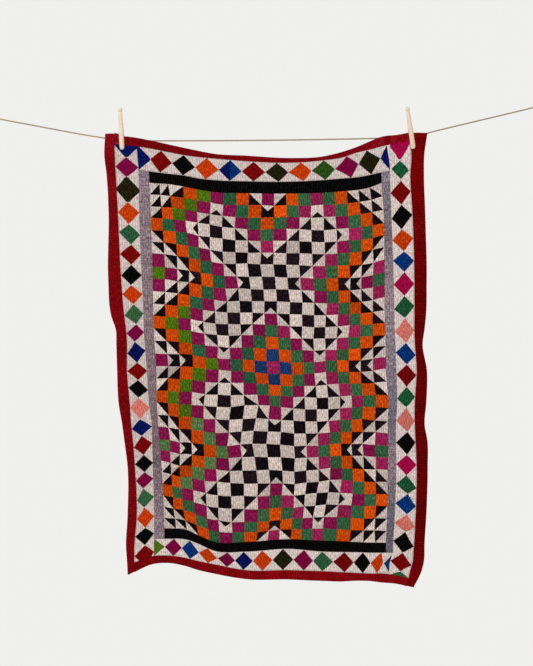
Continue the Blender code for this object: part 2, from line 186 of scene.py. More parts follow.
WANDER_DOWN = np.array((
    (0, 0, 0, 0, 0, 0, 0, 0),
    (-2, -2, -7.5, 0, -2.5, 4, 2, 9),
    (-2.5, -0.5, -4.5, -4, -0.5, 4.5, 5, 7.5),
    (2.5, 5.5, -2, -1, 3, 8.5, 7, 8),
    (5.5, 6.5, -6, -6, 6, 5, 2.5, 9.5),
    (12.5, 10, -10.5, -3, 7.5, -1.5, -0.5, 0),
    (13, 15.5, -8, -11.5, 1.5, 2, -4.5, 6),
    (16, 22, -1, -5, 6.5, -1, -4, 7),
    (9.5, 21, -1, 6.5, 12, -2.5, 1, 3),
    (6.5, 14.5, 5.5, 12.5, 10, 0.5, 2, 1.5),
    (0, 0, 0, 0, 0, 0, 0, 0),
), dtype=float)

# Soft folds: middle of each, its half width and half height, how far it comes forward,
# and how much it slants, in millimetres across for each millimetre down.
FOLDS = (
    # station, drop, half width, half height, forward, slant
    (-390, 640, 60, 330, 9, 0.02),
    (-285, 800, 75, 420, -9, 0.06),
    (-160, 560, 95, 330, 7, -0.05),
    (-20, 900, 105, 430, -8, 0.03),
    (120, 520, 90, 360, 8, 0.05),
    (245, 820, 85, 420, -9, -0.04),
    (350, 610, 60, 380, 10, -0.03),
    (400, 1120, 70, 160, -12, -0.20),
    (-250, 1110, 85, 110, 20, 0.25),
    (-385, 1090, 60, 170, -9, 0.05),
    (60, 1130, 150, 150, 9, 0.0),
    (10, 70, 190, 60, -5, 0.0),
)
FLAT_DROP = 48      # the cloth lies flat against the line down to this drop
FOLDED_DROP = 230   # and is free to fold from here down

# Where the pegs stand: station and drop of the leg tips, and the lean of the peg's head.
PEGS = {
    "left": {"station": -374, "drop": 41, "lean_deg": -3.1},
    "right": {"station": 383, "drop": 39, "lean_deg": -8.0},
}

# The line's way across: distance from the plumb line and drop, in millimetres.
LINE_ROUTE = (
    (-690, -39),
    (-600, -22),
    (-510, -5),
    (-440, 7),
    (-405, 12),
    (-376, 15),
    (-335, 16.5),
    (-200, 17),
    (-20, 16),
    (160, 13.5),
    (320, 9.5),
    (370, 7),
    (400, 2),
    (440, -8),
    (540, -32),
    (620, -51),
    (690, -68),
)

# Diamonds down the side borders: dye, drop of the point where it meets the one above, that
# point's place across the border from 0 to 1, and drops of its left and right points. A
# sixth value is the second half's own dye, and a seventh its reach in sevenths of its place.
LEFT_DIAMONDS = (
    ("navy", 0, 0.50, 25, 35, "navy", 8),
    ("deep_magenta", 60, 0.50, 85, 87),
    ("olive", 112, 0.44, 143, 148, "olive", 8),
    ("deep_orange", 177, 0.47, 204, 205),
    ("teal", 235, 0.47, 255, 263),
    ("red", 288, 0.56, 312, 314),
    ("jet", 340, 0.52, 368, 367),
    ("deep_orange", 393, 0.44, 417, 417),
    ("leaf", 443, 0.51, 472, 467),
    ("deep_magenta", 495, 0.59, 519, 515),
    ("navy", 540, 0.43, 571, 563),
    ("red", 595, 0.51, 617, 616),
    ("jet", 640, 0.51, 659, 666),
    ("salmon", 686, 0.45, 712, 711),
    ("navy", 742, 0.45, 767, 761),
    ("red", 785, 0.46, 816, 804),
    ("jet", 835, 0.50, 859, 856),
    ("deep_magenta", 880, 0.52, 903, 896),
    ("leaf", 922, 0.38, 954, 943),
    ("deep_orange", 971, 0.42, 1001, 994),
    ("jet", 1024, 0.51, 1047, 1038),
    ("red", 1068, 0.54, 1098, 1084),
    ("red", 1128, 0.60, 1160, 1160),
)
RIGHT_DIAMONDS = (
    ("cerise", -34, 0.50, 32, 17, "cerise", 8),
    ("deep_leaf", 66, 0.45, 90, 96, "deep_leaf", 6),
    ("red", 122, 0.55, 154, 149),
    ("jet", 184, 0.50, 221, 210),
    ("deep_orange", 249, 0.45, 277, 272),
    ("royal_blue", 306, 0.54, 330, 330),
    ("cerise", 359, 0.53, 392, 390),
    ("deep_leaf", 421, 0.51, 456, 447),
    ("salmon", 478, 0.53, 514, 511),
    ("royal_blue", 543, 0.55, 568, 575),
    ("red", 599, 0.52, 625, 628),
    ("deep_leaf", 657, 0.51, 687, 683),
    ("salmon", 710, 0.52, 744, 746),
    ("jet", 774, 0.62, 802, 802),
    ("cerise", 834, 0.54, 858, 860),
    ("deep_leaf", 887, 0.49, 908, 921),
    ("royal_blue", 935, 0.59, 959, 968),
    ("salmon", 989, 0.58, 1010, 1022),
    ("jet", 1034, 0.54, 1057, 1074),
    ("red", 1089, 0.46, 1109, 1124),
    ("teal", 1139, 0.54, 1148, 1156),
    ("teal", 1190, 0.50, 1215, 1215),
)

# Diamonds along the top and bottom borders: dye, station of the point where it meets the one
# on its left, that point's place down the border, and stations of its upper and lower points.
TOP_DIAMONDS = (
    ("navy", -372, 0.50, -334, -334, "navy", 8),
    ("red", -301, 0.46, -272, -275),
    ("jet", -244, 0.48, -214, -216),
    ("deep_orange", -184, 0.50, -154, -157),
    ("navy", -123, 0.50, -93, -94, "royal_blue"),
    ("red", -63, 0.52, -32, -33),
    ("olive", -2, 0.50, 28, 32),
    ("deep_orange", 58, 0.50, 90, 97),
    ("bottle", 118, 0.48, 149, 154),
    ("deep_magenta", 179, 0.50, 209, 221),
    ("olive", 240, 0.47, 262, 274),
    ("navy", 298, 0.45, 314, 324, "border_white"),
    ("navy", 360, 0.50, 390, 390),
)
BOTTOM_DIAMONDS = (
    ("grass", -314, 0.45, -289, -289),
    ("deep_magenta", -262, 0.48, -239, -240),
    ("royal_blue", -218, 0.50, -197, -197),
    ("deep_orange", -174, 0.50, -151, -151),
    ("deep_magenta", -126, 0.50, -101, -102),
    ("navy", -81, 0.50, -58, -59),
    ("deep_orange", -34, 0.50, -10, -9),
    ("olive", 17, 0.50, 44, 44),
    ("deep_magenta", 71, 0.50, 99, 98),
    ("teal", 122, 0.50, 146, 146),
    ("red", 174, 0.50, 204, 204),
    ("jet", 228, 0.50, 252, 252),
    ("deep_orange", 272, 0.50, 300, 288),
    ("royal_blue", 304, 0.50, 328, 318, "border_white", 6),
    ("royal_blue", 338, 0.50, 350, 350),
)

# Dyes, as they look in daylight
DYES = {
    "off_white": (0.775, 0.712, 0.677),
    "border_white": (0.858, 0.795, 0.769),
    "black": (0.040, 0.020, 0.030),
    "jet": (0.010, 0.008, 0.008),
    "plum_black": (0.085, 0.042, 0.068),
    "magenta": (0.475, 0.050, 0.245),
    "deep_magenta": (0.440, 0.005, 0.205),
    "pink_magenta": (0.565, 0.105, 0.290),
    "cerise": (0.600, 0.010, 0.235),
    "orange": (0.740, 0.240, 0.015),
    "bright_orange": (0.785, 0.265, 0.015),
    "deep_orange": (0.755, 0.205, 0.015),
    "grass": (0.260, 0.388, 0.040),
    "teal": (0.135, 0.320, 0.200),
    "leaf": (0.180, 0.345, 0.210),
    "deep_leaf": (0.075, 0.290, 0.165),
    "bottle": (0.130, 0.270, 0.060),
    "sage": (0.310, 0.430, 0.240),
    "blue": (0.070, 0.195, 0.375),
    "royal_blue": (0.005, 0.165, 0.415),
    "navy": (0.010, 0.045, 0.300),
    "red": (0.430, 0.006, 0.006),
    "olive": (0.100, 0.085, 0.020),
    "salmon": (0.810, 0.430, 0.380),
    "binding_red": (0.460, 0.015, 0.030),
    "binding_dark_red": (0.400, 0.006, 0.008),
    "binding_cerise": (0.520, 0.050, 0.120),
    "lilac": (0.510, 0.432, 0.455),
    "blue_lilac": (0.480, 0.455, 0.515),
    "backing": (0.700, 0.640, 0.560),
}


# ---------------------------------------------------------------- settings

def colour_property(name, description, colour):
    """A colour that a user may change."""
    return FloatVectorProperty(name=name, description=description, default=colour, size=3,
                               min=0, max=1, subtype="COLOR_GAMMA")


def dye_property(name, description):
    """A colour that starts from the table of dyes."""
    return colour_property(name.replace("_", " ").capitalize(), description, DYES[name])


def length_property(name, description, default, low, high):
    """A length in metres that a user may change."""
    return FloatProperty(name=name, description=description, default=default, min=low,
                         max=high, subtype="DISTANCE", unit="LENGTH")


class RalliDyes(bpy.types.PropertyGroup):
    """Colours of the cut cotton pieces."""

    off_white: dye_property("off_white", "Ground of the borders and of the crosses")
    border_white: dye_property("border_white", "Ground of the borders where it is palest")
    black: dye_property("black", "Black patches")
    jet: dye_property("jet", "Black diamonds and strips")
    plum_black: dye_property("plum_black", "Black patches that have faded")
    magenta: dye_property("magenta", "Deep magenta patches")
    deep_magenta: dye_property("deep_magenta", "Magenta diamonds")
    pink_magenta: dye_property("pink_magenta", "Magenta patches that have faded to pink")
    cerise: dye_property("cerise", "Bright diamonds of the right border")
    orange: dye_property("orange", "Orange patches on the left")
    bright_orange: dye_property("bright_orange", "Orange patches on the right")
    deep_orange: dye_property("deep_orange", "Orange diamonds")
    grass: dye_property("grass", "Yellowish green patches")
    teal: dye_property("teal", "Bluish green patches")
    leaf: dye_property("leaf", "Deep green patches")
    deep_leaf: dye_property("deep_leaf", "Green diamonds of the right border")
    bottle: dye_property("bottle", "Dark green diamond of the top border")
    sage: dye_property("sage", "Greyish green patches")
    blue: dye_property("blue", "Blue patches")
    royal_blue: dye_property("royal_blue", "Bright blue diamonds")
    navy: dye_property("navy", "Dark blue diamonds")
    red: dye_property("red", "Red diamonds")
    olive: dye_property("olive", "Olive black diamonds")
    salmon: dye_property("salmon", "Salmon diamonds")
    binding_red: dye_property("binding_red", "Binding on the left, top and bottom")
    binding_dark_red: dye_property("binding_dark_red", "Binding on the right")
    binding_cerise: dye_property("binding_cerise", "Piece let into the binding's corner")
    lilac: dye_property("lilac", "Strips beside the panel")
    blue_lilac: dye_property("blue_lilac", "Bluish stretches of the right strip")
    backing: dye_property("backing", "Plain cotton of the quilt's back")


class RalliCloth(bpy.types.PropertyGroup):
    """How the quilted cotton lies."""

    puff: length_property("Puff", "How far the middle of a patch stands proud",
                          0.00045, 0, 0.002)
    groove: length_property("Seam groove", "Depth of the seams' grooves", 0.00060, 0, 0.001)
    wrinkle: length_property("Wrinkle", "Height of the small wrinkles", 0.00075, 0, 0.003)
    uneven: FloatProperty(name="Uneven patches", description="Scatter of patch corners, as a "
                          "share of a patch", default=0.025, min=0, max=0.2)
    rib: length_property("Binding rib", "Height of the binding's ribs", 0.00045, 0, 0.001)
    stitch_pitch: length_property("Stitch pitch", "From one stitch to the next",
                                  0.0050, 0.003, 0.02)
    row_pitch: length_property("Row pitch", "From one row of stitches to the next",
                               0.0056, 0.004, 0.02)


class RalliHardware(bpy.types.PropertyGroup):
    """Finish of the pegs, the line and the wall eyes."""

    beech: colour_property("Beech", "Bare wood of the pegs", (0.975, 0.835, 0.722))
    hemp: colour_property("Hemp", "Twisted cord of the line", (0.640, 0.570, 0.460))
    steel: colour_property("Steel", "Plated steel of the wall eyes", (0.760, 0.760, 0.750))
    strand_lay: length_property("Strand lay", "Length of cord in which a strand goes once "
                                "round", 0.013, 0.004, 0.05)
    peg_sides: IntProperty(name="Peg sides", description="Faces round a peg", default=48,
                           min=16, max=96)


class RalliStage(bpy.types.PropertyGroup):
    """Camera, floor and light."""

    camera_distance: length_property("Camera distance", "From the cloth", 3.6, 1, 10)
    view_height: length_property("View height", "Height seen at the cloth", 1.7316, 0.5, 4)
    view_drop: length_property("View drop", "The view's middle below the pegged corners",
                               0.5174, 0, 1.2)
    key_power: FloatProperty(name="Key light", description="Power of the large soft light",
                             default=60, min=0, max=1000, subtype="POWER", unit="POWER")
    fill_power: FloatProperty(name="Fill light", description="Power of the fill light",
                              default=18, min=0, max=1000, subtype="POWER", unit="POWER")
    room_light: FloatProperty(name="Room light", description="Light from the room in front, "
                              "as a share of the pale surround behind", default=0.5, min=0,
                              max=1)
    surround: colour_property("Surround", "Pale studio surround", (0.940, 0.940, 0.930))


# ---------------------------------------------------------------- finishes

def linear(colour):
    """A daylight colour as the amounts of red, green and blue light that it sends back."""
    values = np.asarray(colour, dtype=float)
    return np.where(values <= 0.04045, values / 12.92, ((values + 0.055) / 1.055) ** 2.4)


class Shade:
    """A value that varies over a surface; sums, products and powers of it add their nodes."""

    def __init__(self, finish, socket):
        self.finish = finish
        self.socket = socket

    def _maths(self, operation, first, second):
        return self.finish.add("ShaderNodeMath", {"operation": operation},
                               {0: first, 1: second})

    def __add__(self, other):
        return self._maths("ADD", self, other)

    __radd__ = __add__

    def __sub__(self, other):
        return self._maths("SUBTRACT", self, other)

    def __rsub__(self, other):
        return self._maths("SUBTRACT", other, self)

    def __mul__(self, other):
        return self._maths("MULTIPLY", self, other)

    __rmul__ = __mul__

    def __pow__(self, other):
        return self._maths("POWER", self, other)

    def sine(self):
        return self._maths("SINE", self, 0.0)


class Finish:
    """A material being built, with its Principled shader ready."""

    def __init__(self, name, roughness, steady=None):
        self.material = bpy.data.materials.new(name)
        self.material.use_nodes = True
        self.tree = self.material.node_tree
        self.shader = self.tree.nodes["Principled BSDF"]
        self.shader.inputs["Roughness"].default_value = roughness
        for socket, value in (steady or {}).items():
            self.shader.inputs[socket].default_value = value

    def add(self, kind, settings=None, inputs=None, output=0):
        """A node of that kind: its settings first, then values or links of its sockets."""
        node = self.tree.nodes.new(kind)
        for name, value in (settings or {}).items():
            setattr(node, name, value)
        for name, value in (inputs or {}).items():
            self.join(node.inputs[name], value)
        return Shade(self, node.outputs[output])

    def join(self, socket, value):
        """Link a shade to the socket, or set the socket's own value."""
        if isinstance(value, Shade):
            self.tree.links.new(value.socket, socket)
        elif hasattr(value, "__len__") and socket.type == "RGBA":
            socket.default_value = (*value[:3], 1.0)
        else:
            socket.default_value = value

    def feed(self, name, value):
        """Link a shade to one of the Principled shader's sockets."""
        self.join(self.shader.inputs[name], value)

    def flat_place(self):
        """The piece's own map, in metres of flat cloth, cord or wood."""
        return self.add("ShaderNodeUVMap", {"uv_map": "flat"})

    def own_dye(self):
        """The dye that each face carries."""
        return self.add("ShaderNodeAttribute", {"attribute_name": "dye"})

    def parts(self, vector):
        """The first two parts of a vector."""
        node = self.tree.nodes.new("ShaderNodeSeparateXYZ")
        self.join(node.inputs[0], vector)
        return Shade(self, node.outputs[0]), Shade(self, node.outputs[1])

    def noise(self, place, scale, detail=2.0, stretch=(1.0, 1.0, 1.0)):
        """Noise about 0.5, `scale` cells to the metre, drawn out where stretch is small."""
        mapped = self.add("ShaderNodeMapping", {}, {"Vector": place, "Scale": stretch})
        return self.add("ShaderNodeTexNoise", {},
                        {"Vector": mapped, "Scale": scale, "Detail": detail,
                         "Roughness": 0.55})

    def dyed(self, colour, amount):
        """A colour made lighter or darker by a shade about 1."""
        return self.add("ShaderNodeVectorMath", {"operation": "SCALE"},
                        {0: colour, "Scale": amount})

    def blend(self, amount, first, second):
        """From the first colour at 0 to the second at 1."""
        node = self.tree.nodes.new("ShaderNodeMix")
        node.data_type = "RGBA"
        self.join(node.inputs["Factor"], amount)
        self.join(node.inputs[6], first)
        self.join(node.inputs[7], second)
        return Shade(self, node.outputs[2])

    def emboss(self, height, depth):
        """Bump the surface by `height`, a shade whose full range is `depth` metres."""
        bump = self.add("ShaderNodeBump", {}, {"Height": height, "Distance": depth,
                                               "Strength": 1.0})
        self.feed("Normal", bump)


def cotton_finish(name, weave_pitch=0.0009, weave=0.12, fade=0.20, slub=1.70, rows=0.42):
    """Hand-dyed cotton: its dye, uneven threads, plain weave and rows of quilting.

    The weave is the product of a sine across and a sine down; it is bumped, and painted into
    the colour as shade between the threads. Slubs are noise drawn out along the threads, and
    fading is slow noise. Threads rubbed pale are the dye to the power 0.6.
    The quilting pulls the cloth in along its rows: the sixth power of a cosine across them,
    stronger and weaker with each stitch; it is bumped, and painted into the colour as shade
    along the furrows. `weave` and `rows` set how strongly that shade is painted.
    """
    finish = Finish(name, 0.88, {"Specular IOR Level": 0.015})
    place = finish.flat_place()
    across, down = finish.parts(place)
    turn = 2 * math.pi / weave_pitch
    threads = (across * turn).sine() * (down * turn).sine()
    warp = finish.noise(place, 340, 2.0, (1.0, 0.35, 1.0))
    weft = finish.noise(place, 340, 2.0, (0.35, 1.0, 1.0))
    slow = finish.noise(place, 28, 3.0)
    wander = finish.noise(place, 60, 1.0)
    cloth = bpy.context.scene.ralli_cloth
    row = (across + wander * 0.0010 - 0.0005) * (math.pi / cloth.row_pitch)
    furrow = (row + math.pi / 2).sine() ** 6
    pucker = 0.5 + 0.5 * (down * (2 * math.pi / cloth.stitch_pitch) + wander * 14.0).sine()
    uneven = slub * (0.85 - 1.25 * warp - 0.45 * weft)
    # Depth of colour: fading and slubs are the cloth's own; the weave and the quilting furrows in it
    # are painted shade.
    depth = (1.0 + 0.5 * fade + 0.3 * rows - fade * slow + uneven
             + weave * 0.5 * threads - rows * furrow * (0.35 + 0.65 * pucker))
    dye = finish.own_dye()
    rubbed = finish.add("ShaderNodeGamma", {}, {"Color": dye, "Gamma": 0.6})
    worn = finish.blend((0.52 - warp) * 1.5, dye, rubbed)
    finish.feed("Base Color", finish.dyed(worn, depth))
    finish.feed("Roughness", 0.80 + 0.16 * slow)
    relief = (0.16 * threads + 0.6 * warp + 0.3 * weft
              - 1.1 * furrow * (0.4 + 0.6 * pucker))
    finish.emboss(relief, 0.0005)
    return finish.material


def thread_finish():
    """Spun cotton thread: its dye with a fine twist along it."""
    finish = Finish("quilting_thread", 0.75, {"Specular IOR Level": 0.15})
    place = finish.flat_place()
    fibres = finish.noise(place, 2500, 1.0, (1.0, 0.3, 1.0))
    dye = finish.own_dye()
    finish.feed("Base Color", finish.dyed(dye, 0.85 + 0.3 * fibres))
    finish.emboss(fibres, 0.0001)
    return finish.material


def beech_finish(colour):
    """Bare turned beech: long grain lines, short dark flecks and faint turning rings."""
    finish = Finish("bare_beech", 0.55)
    place = finish.flat_place()
    grain = finish.noise(place, 700, 4.0, (1.0, 0.05, 1.0))
    flecks = finish.noise(place, 1500, 1.0, (1.0, 0.18, 1.0))
    slow = finish.noise(place, 60, 2.0, (1.0, 0.3, 1.0))
    mark = (flecks ** 6) * 8.0
    _, along = finish.parts(place)
    rings = (along * (2 * math.pi / 0.0011)).sine()
    wood = finish.blend(grain, tuple(0.72 * c for c in linear(colour)),
                        tuple(min(1.0, 1.25 * c) for c in linear(colour)))
    finish.feed("Base Color", finish.dyed(wood, 0.96 + 0.12 * slow - 0.25 * mark))
    finish.feed("Roughness", 0.45 + 0.25 * grain)
    finish.emboss(grain - 0.6 * mark + 0.10 * rings, 0.00012)
    return finish.material


def hemp_finish(colour):
    """Spun hemp: hairs that follow the strands, darker between them."""
    finish = Finish("twisted_hemp", 0.85)
    place = finish.flat_place()
    hairs = finish.noise(place, 1800, 3.0, (1.0, 0.12, 1.0))
    slow = finish.noise(place, 90, 2.0)
    tone = tuple(linear(colour))
    finish.feed("Base Color", finish.blend(hairs, tuple(0.55 * c for c in tone),
                                           tuple(min(1.0, 1.35 * c) for c in tone)))
    finish.feed("Roughness", 0.78 + 0.15 * slow)
    finish.emboss(hairs + 0.5 * slow, 0.0002)
    return finish.material


def steel_finish(colour):
    """Zinc-plated steel: dull, with fine rubbed marks and a cloudy bloom."""
    finish = Finish("zinc_plated_steel", 0.35, {"Metallic": 1.0})
    place = finish.add("ShaderNodeTexCoord", {}, {}, 3)
    cloud = finish.noise(place, 160, 4.0)
    rubbed = finish.noise(place, 900, 2.0, (1.0, 0.15, 1.0))
    tone = tuple(linear(colour))
    finish.feed("Base Color", finish.blend(cloud, tuple(0.75 * c for c in tone), tone))
    finish.feed("Roughness", 0.26 + 0.22 * cloud + 0.10 * rubbed)
    finish.emboss(rubbed, 0.00004)
    return finish.material


def finish_once(name, maker, *values):
    """The finish called `name`, made on its first use."""
    return bpy.data.materials.get(name) or maker(*values)


# ---------------------------------------------------------------- meshes

def grid_triangles(rows, columns, rising=None):
    """Two triangles for each cell of a grid of points, seen from the front.

    A cell is cut from its upper left to its lower right corner, or along the other diagonal
    where `rising` is true.
    """
    corner = np.arange(rows * columns).reshape(rows, columns)
    upper_left, upper_right = corner[:-1, :-1], corner[:-1, 1:]
    lower_left, lower_right = corner[1:, :-1], corner[1:, 1:]
    if rising is None:
        rising = np.zeros(upper_left.shape, dtype=bool)
    pick = rising[..., None]
    first = np.where(pick, np.stack((upper_left, lower_left, upper_right), -1),
                     np.stack((upper_left, lower_left, lower_right), -1))
    second = np.where(pick, np.stack((lower_left, lower_right, upper_right), -1),
                      np.stack((upper_left, lower_right, upper_right), -1))
    return np.stack((first, second), -2)


def grid_quads(rows, columns, round_columns=False):
    """One quad for each cell; `round_columns` joins the last column to the first."""
    corner = np.arange(rows * columns).reshape(rows, columns)
    if round_columns:
        corner = np.concatenate((corner, corner[:, :1]), axis=1)
    quads = np.stack((corner[:-1, :-1], corner[1:, :-1], corner[1:, 1:], corner[:-1, 1:]), -1)
    return quads.reshape(-1, 4)


def solid_faces(points, faces):
    """The faces that have some area."""
    corner = points[faces]
    sides = np.cross(corner[:, 1] - corner[:, 0], corner[:, 2] - corner[:, 0])
    if faces.shape[1] == 4:
        sides = sides + np.cross(corner[:, 2] - corner[:, 0], corner[:, 3] - corner[:, 0])
    return np.linalg.norm(sides, axis=1) > 1e-11


def mesh_piece(name, points, faces, finish, flat=None, dye=None, weld=False):
    """An object at the origin from arrays of points and faces, with its map and its dyes.

    `flat` is the map, a pair for each point, and `dye` a colour for each face.
    """
    keep = solid_faces(points, faces)
    faces = faces[keep]
    mesh = bpy.data.meshes.new(name)
    mesh.from_pydata(points.tolist(), [], faces.tolist())
    if flat is not None:
        layer = mesh.uv_layers.new(name="flat")
        layer.data.foreach_set("uv", flat[faces.ravel()].astype(np.float32).ravel())
    if dye is not None:
        colours = np.repeat(dye[keep], faces.shape[1], axis=0)
        colours = np.column_stack((colours, np.ones(len(colours))))
        layer = mesh.color_attributes.new("dye", "FLOAT_COLOR", "CORNER")
        layer.data.foreach_set("color", colours.astype(np.float32).ravel())
    if weld:
        solid = bmesh.new()
        solid.from_mesh(mesh)
        bmesh.ops.remove_doubles(solid, verts=solid.verts, dist=0.00001)
        solid.to_mesh(mesh)
        solid.free()
    mesh.shade_smooth()
    mesh.materials.append(finish)
    piece = bpy.data.objects.new(name, mesh)
    bpy.context.scene.collection.objects.link(piece)
    return piece


def settle(piece, slot, *nodes):
    """Ride the piece on the only body, in place of these solids; `slot` is not used."""
    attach(piece, "root")
    if nodes:
        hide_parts(*nodes)
    return piece


# ---------------------------------------------------------------- the hanging cloth

def running_total(steps):
    """Where each step begins and the last one ends."""
    return np.concatenate(([0.0], np.cumsum(steps)))


def run_along(path):
    """How far along a path each of its points lies."""
    return running_total(np.linalg.norm(np.diff(path, axis=0), axis=1))


def round_turn(count):
    """`count` even angles once round a circle."""
    return np.arange(count) * 2 * math.pi / count


def read_lines(table, at):
    """Every line of a table read at the stations `at`, as cubic curves through its rows."""
    stations = table[:, 0]
    lines = table[:, 1:]
    slopes = np.gradient(lines, stations, axis=0)
    row = np.clip(np.searchsorted(stations, at) - 1, 0, len(stations) - 2)
    step = (stations[row + 1] - stations[row])[:, None]
    t = np.clip((at - stations[row])[:, None] / step, 0, 1)
    start = (2 * t ** 3 - 3 * t ** 2 + 1) * lines[row]
    start_slope = (t ** 3 - 2 * t ** 2 + t) * step * slopes[row]
    end = (3 * t ** 2 - 2 * t ** 3) * lines[row + 1]
    end_slope = (t ** 3 - t ** 2) * step * slopes[row + 1]
    return start + start_slope + end + end_slope


def between_seams(lines, place):
    """Straight between the seams on each side; `place` counts seams, 2.5 being mid-band 2."""
    band = np.clip(np.floor(place).astype(int), 0, lines.shape[1] - 2)
    share = place - band
    point = np.arange(len(place))
    return lines[point, band] * (1 - share) + lines[point, band + 1] * share


def seam_place(lines, value):
    """The place, counted in seams, at which the lines have this value."""
    band = np.clip((lines <= value[:, None]).sum(axis=1) - 1, 0, lines.shape[1] - 2)
    point = np.arange(len(value))
    low, high = lines[point, band], lines[point, band + 1]
    return band + (value - low) / (high - low)


def station_and_drop(across, down):
    """Where a place counted in seams hangs, in millimetres from the plumb line and down."""
    station = np.zeros_like(across)
    for _ in range(6):
        drop = between_seams(read_lines(SEAMS_ACROSS, station), down)
        station = between_seams(read_lines(SEAMS_DOWN, drop), across)
    return station, drop


def fold_depth(station, drop):
    """How far forward the cloth stands: a sum of long slanting bell-shaped folds."""
    forward = np.zeros_like(station)
    for middle, level, half_width, half_height, depth, slant in FOLDS:
        beside = (station - middle - slant * (drop - level)) / half_width
        below = (drop - level) / half_height
        forward += depth * np.exp(-beside ** 2 - below ** 2)
    free = np.clip((drop - FLAT_DROP) / (FOLDED_DROP - FLAT_DROP), 0, 1)
    return forward * free * free * (3 - 2 * free)


def hang(across, down):
    """World points of the cloth's middle surface for places counted in seams."""
    station, drop = station_and_drop(across, down)
    x = QUILT_MIDDLE_X + station * MM
    y = CLOTH_Y - fold_depth(station, drop) * MM
    z = CORNER_LEVEL_Z - drop * MM
    return np.column_stack((x, y, z))


def smooth_step(value):
    """From 0 to 1 with no slope at either end."""
    t = np.clip(value, 0, 1)
    return t * t * (3 - 2 * t)


def facing(across, down):
    """The cloth's unit normals, towards the front: the cross product of its two slopes."""
    step = 2.0
    half_across = step / WIDTHS[np.clip(np.floor(across).astype(int), 0, 6)]
    half_down = step / HEIGHTS[np.clip(np.floor(down).astype(int), 0, 6)]
    sideways = hang(across + half_across, down) - hang(across - half_across, down)
    downward = hang(across, down + half_down) - hang(across, down - half_down)
    normal = np.cross(downward, sideways)
    return normal / np.linalg.norm(normal, axis=1)[:, None]


def wrinkle_height(station, drop):
    """Small wrinkles: waves of many lengths and ways, calm where the pegs press the cloth."""
    draw = np.random.default_rng(11)
    height = np.zeros_like(station)
    waves = 30
    for _ in range(waves):
        way = draw.normal(0.0, 0.75)
        length = draw.uniform(24, 95)
        phase = draw.uniform(0, 2 * math.pi)
        bend = draw.uniform(-1, 1) * 0.012
        run = station * math.cos(way) + drop * math.sin(way)
        run = run + 14 * np.sin(bend * (drop * math.cos(way) - station * math.sin(way)) + phase)
        height += np.sin(2 * math.pi * run / length + phase) * (length / 60)
    calm = np.maximum(smooth_step((drop - 40) / 70), smooth_step((300 - abs(station)) / 80))
    return height / math.sqrt(waves) * (0.10 + 0.90 * calm)


def laid(across, down, height):
    """World points that stand `height` metres in front of the cloth's middle surface."""
    station, drop = station_and_drop(across, down)
    cloth = bpy.context.scene.ralli_cloth
    proud = height + cloth.wrinkle * 0.6 * wrinkle_height(station, drop)
    return hang(across, down) + facing(across, down) * proud[:, None]


def flat_metres(across, down):
    """The cloth's map: metres across and down the quilt when it lies flat."""
    widths = running_total(WIDTHS) * MM
    heights = running_total(HEIGHTS) * MM
    return np.column_stack((np.interp(across, SEAMS, widths), np.interp(down, SEAMS, heights)))


def from_seam(place, bands, first, last):
    """Millimetres to the nearer of a piece's two seams, `first` and `last`."""
    flat = running_total(bands)
    at = np.interp(place, SEAMS, flat)
    return np.minimum(at - flat[first], flat[last] - at)


def from_edge(across, down, columns, rows):
    """Millimetres to the nearest of the four seams round a piece."""
    return np.minimum(from_seam(across, WIDTHS, *columns), from_seam(down, HEIGHTS, *rows))


def sunk_seam(distance):
    """How far a seam pulls the cloth in at a distance in mm: a bell 1.3 mm wide."""
    return np.exp(-(distance / SEAM_BELL) ** 2)


def with_rim(*layers):
    """Grids with their edge points repeated once all round, for the turned-in rim."""
    return [np.pad(layer, 1, mode="edge") for layer in layers]


def rim_mask(rows, columns):
    """True on the outermost ring of a grid."""
    mask = np.ones((rows, columns), dtype=bool)
    mask[1:-1, 1:-1] = False
    return mask


def cloth_sheet(name, across, down, height, finish, rising=None, dye=None):
    """A cut piece of cloth: a grid laid on the hanging surface, its rim turned in.

    `across` and `down` are places in seams, `height` is above the middle surface and `dye`
    is a colour for each of the two triangles of each cell.
    """
    across, down, height = with_rim(across, down, height)
    rows, columns = across.shape
    height = np.where(rim_mask(rows, columns), -CLOTH_THICKNESS * 0.35, height)
    if rising is not None:
        rising = np.pad(rising, 1, mode="edge")
    faces = grid_triangles(rows, columns, rising)
    dye = np.pad(dye, ((1, 1), (1, 1), (0, 0), (0, 0)), mode="edge")
    points = laid(across.ravel(), down.ravel(), height.ravel())
    flat = flat_metres(across.ravel(), down.ravel())
    return mesh_piece(name, points, faces.reshape(-1, 3), finish, flat, dye.reshape(-1, 3))


def plain_dye(name):
    """The light that a dye sends back."""
    return linear(getattr(bpy.context.scene.ralli_dyes, name))


# ---------------------------------------------------------------- patchwork chart

SIDES = {"top": 0, "right": 1, "bottom": 2, "left": 3}


def green_of(column, row):
    """Which green was to hand for this patch."""
    if column <= 5 and (row <= 3 or 11 <= row <= 13 or 15 <= row <= 19
                        or (row == 8 and column == 1)):
        return "grass"
    if column <= 9 and 20 <= row <= 25:
        return "sage"
    if column <= 9 and row <= 19:
        return "teal"
    return "leaf"


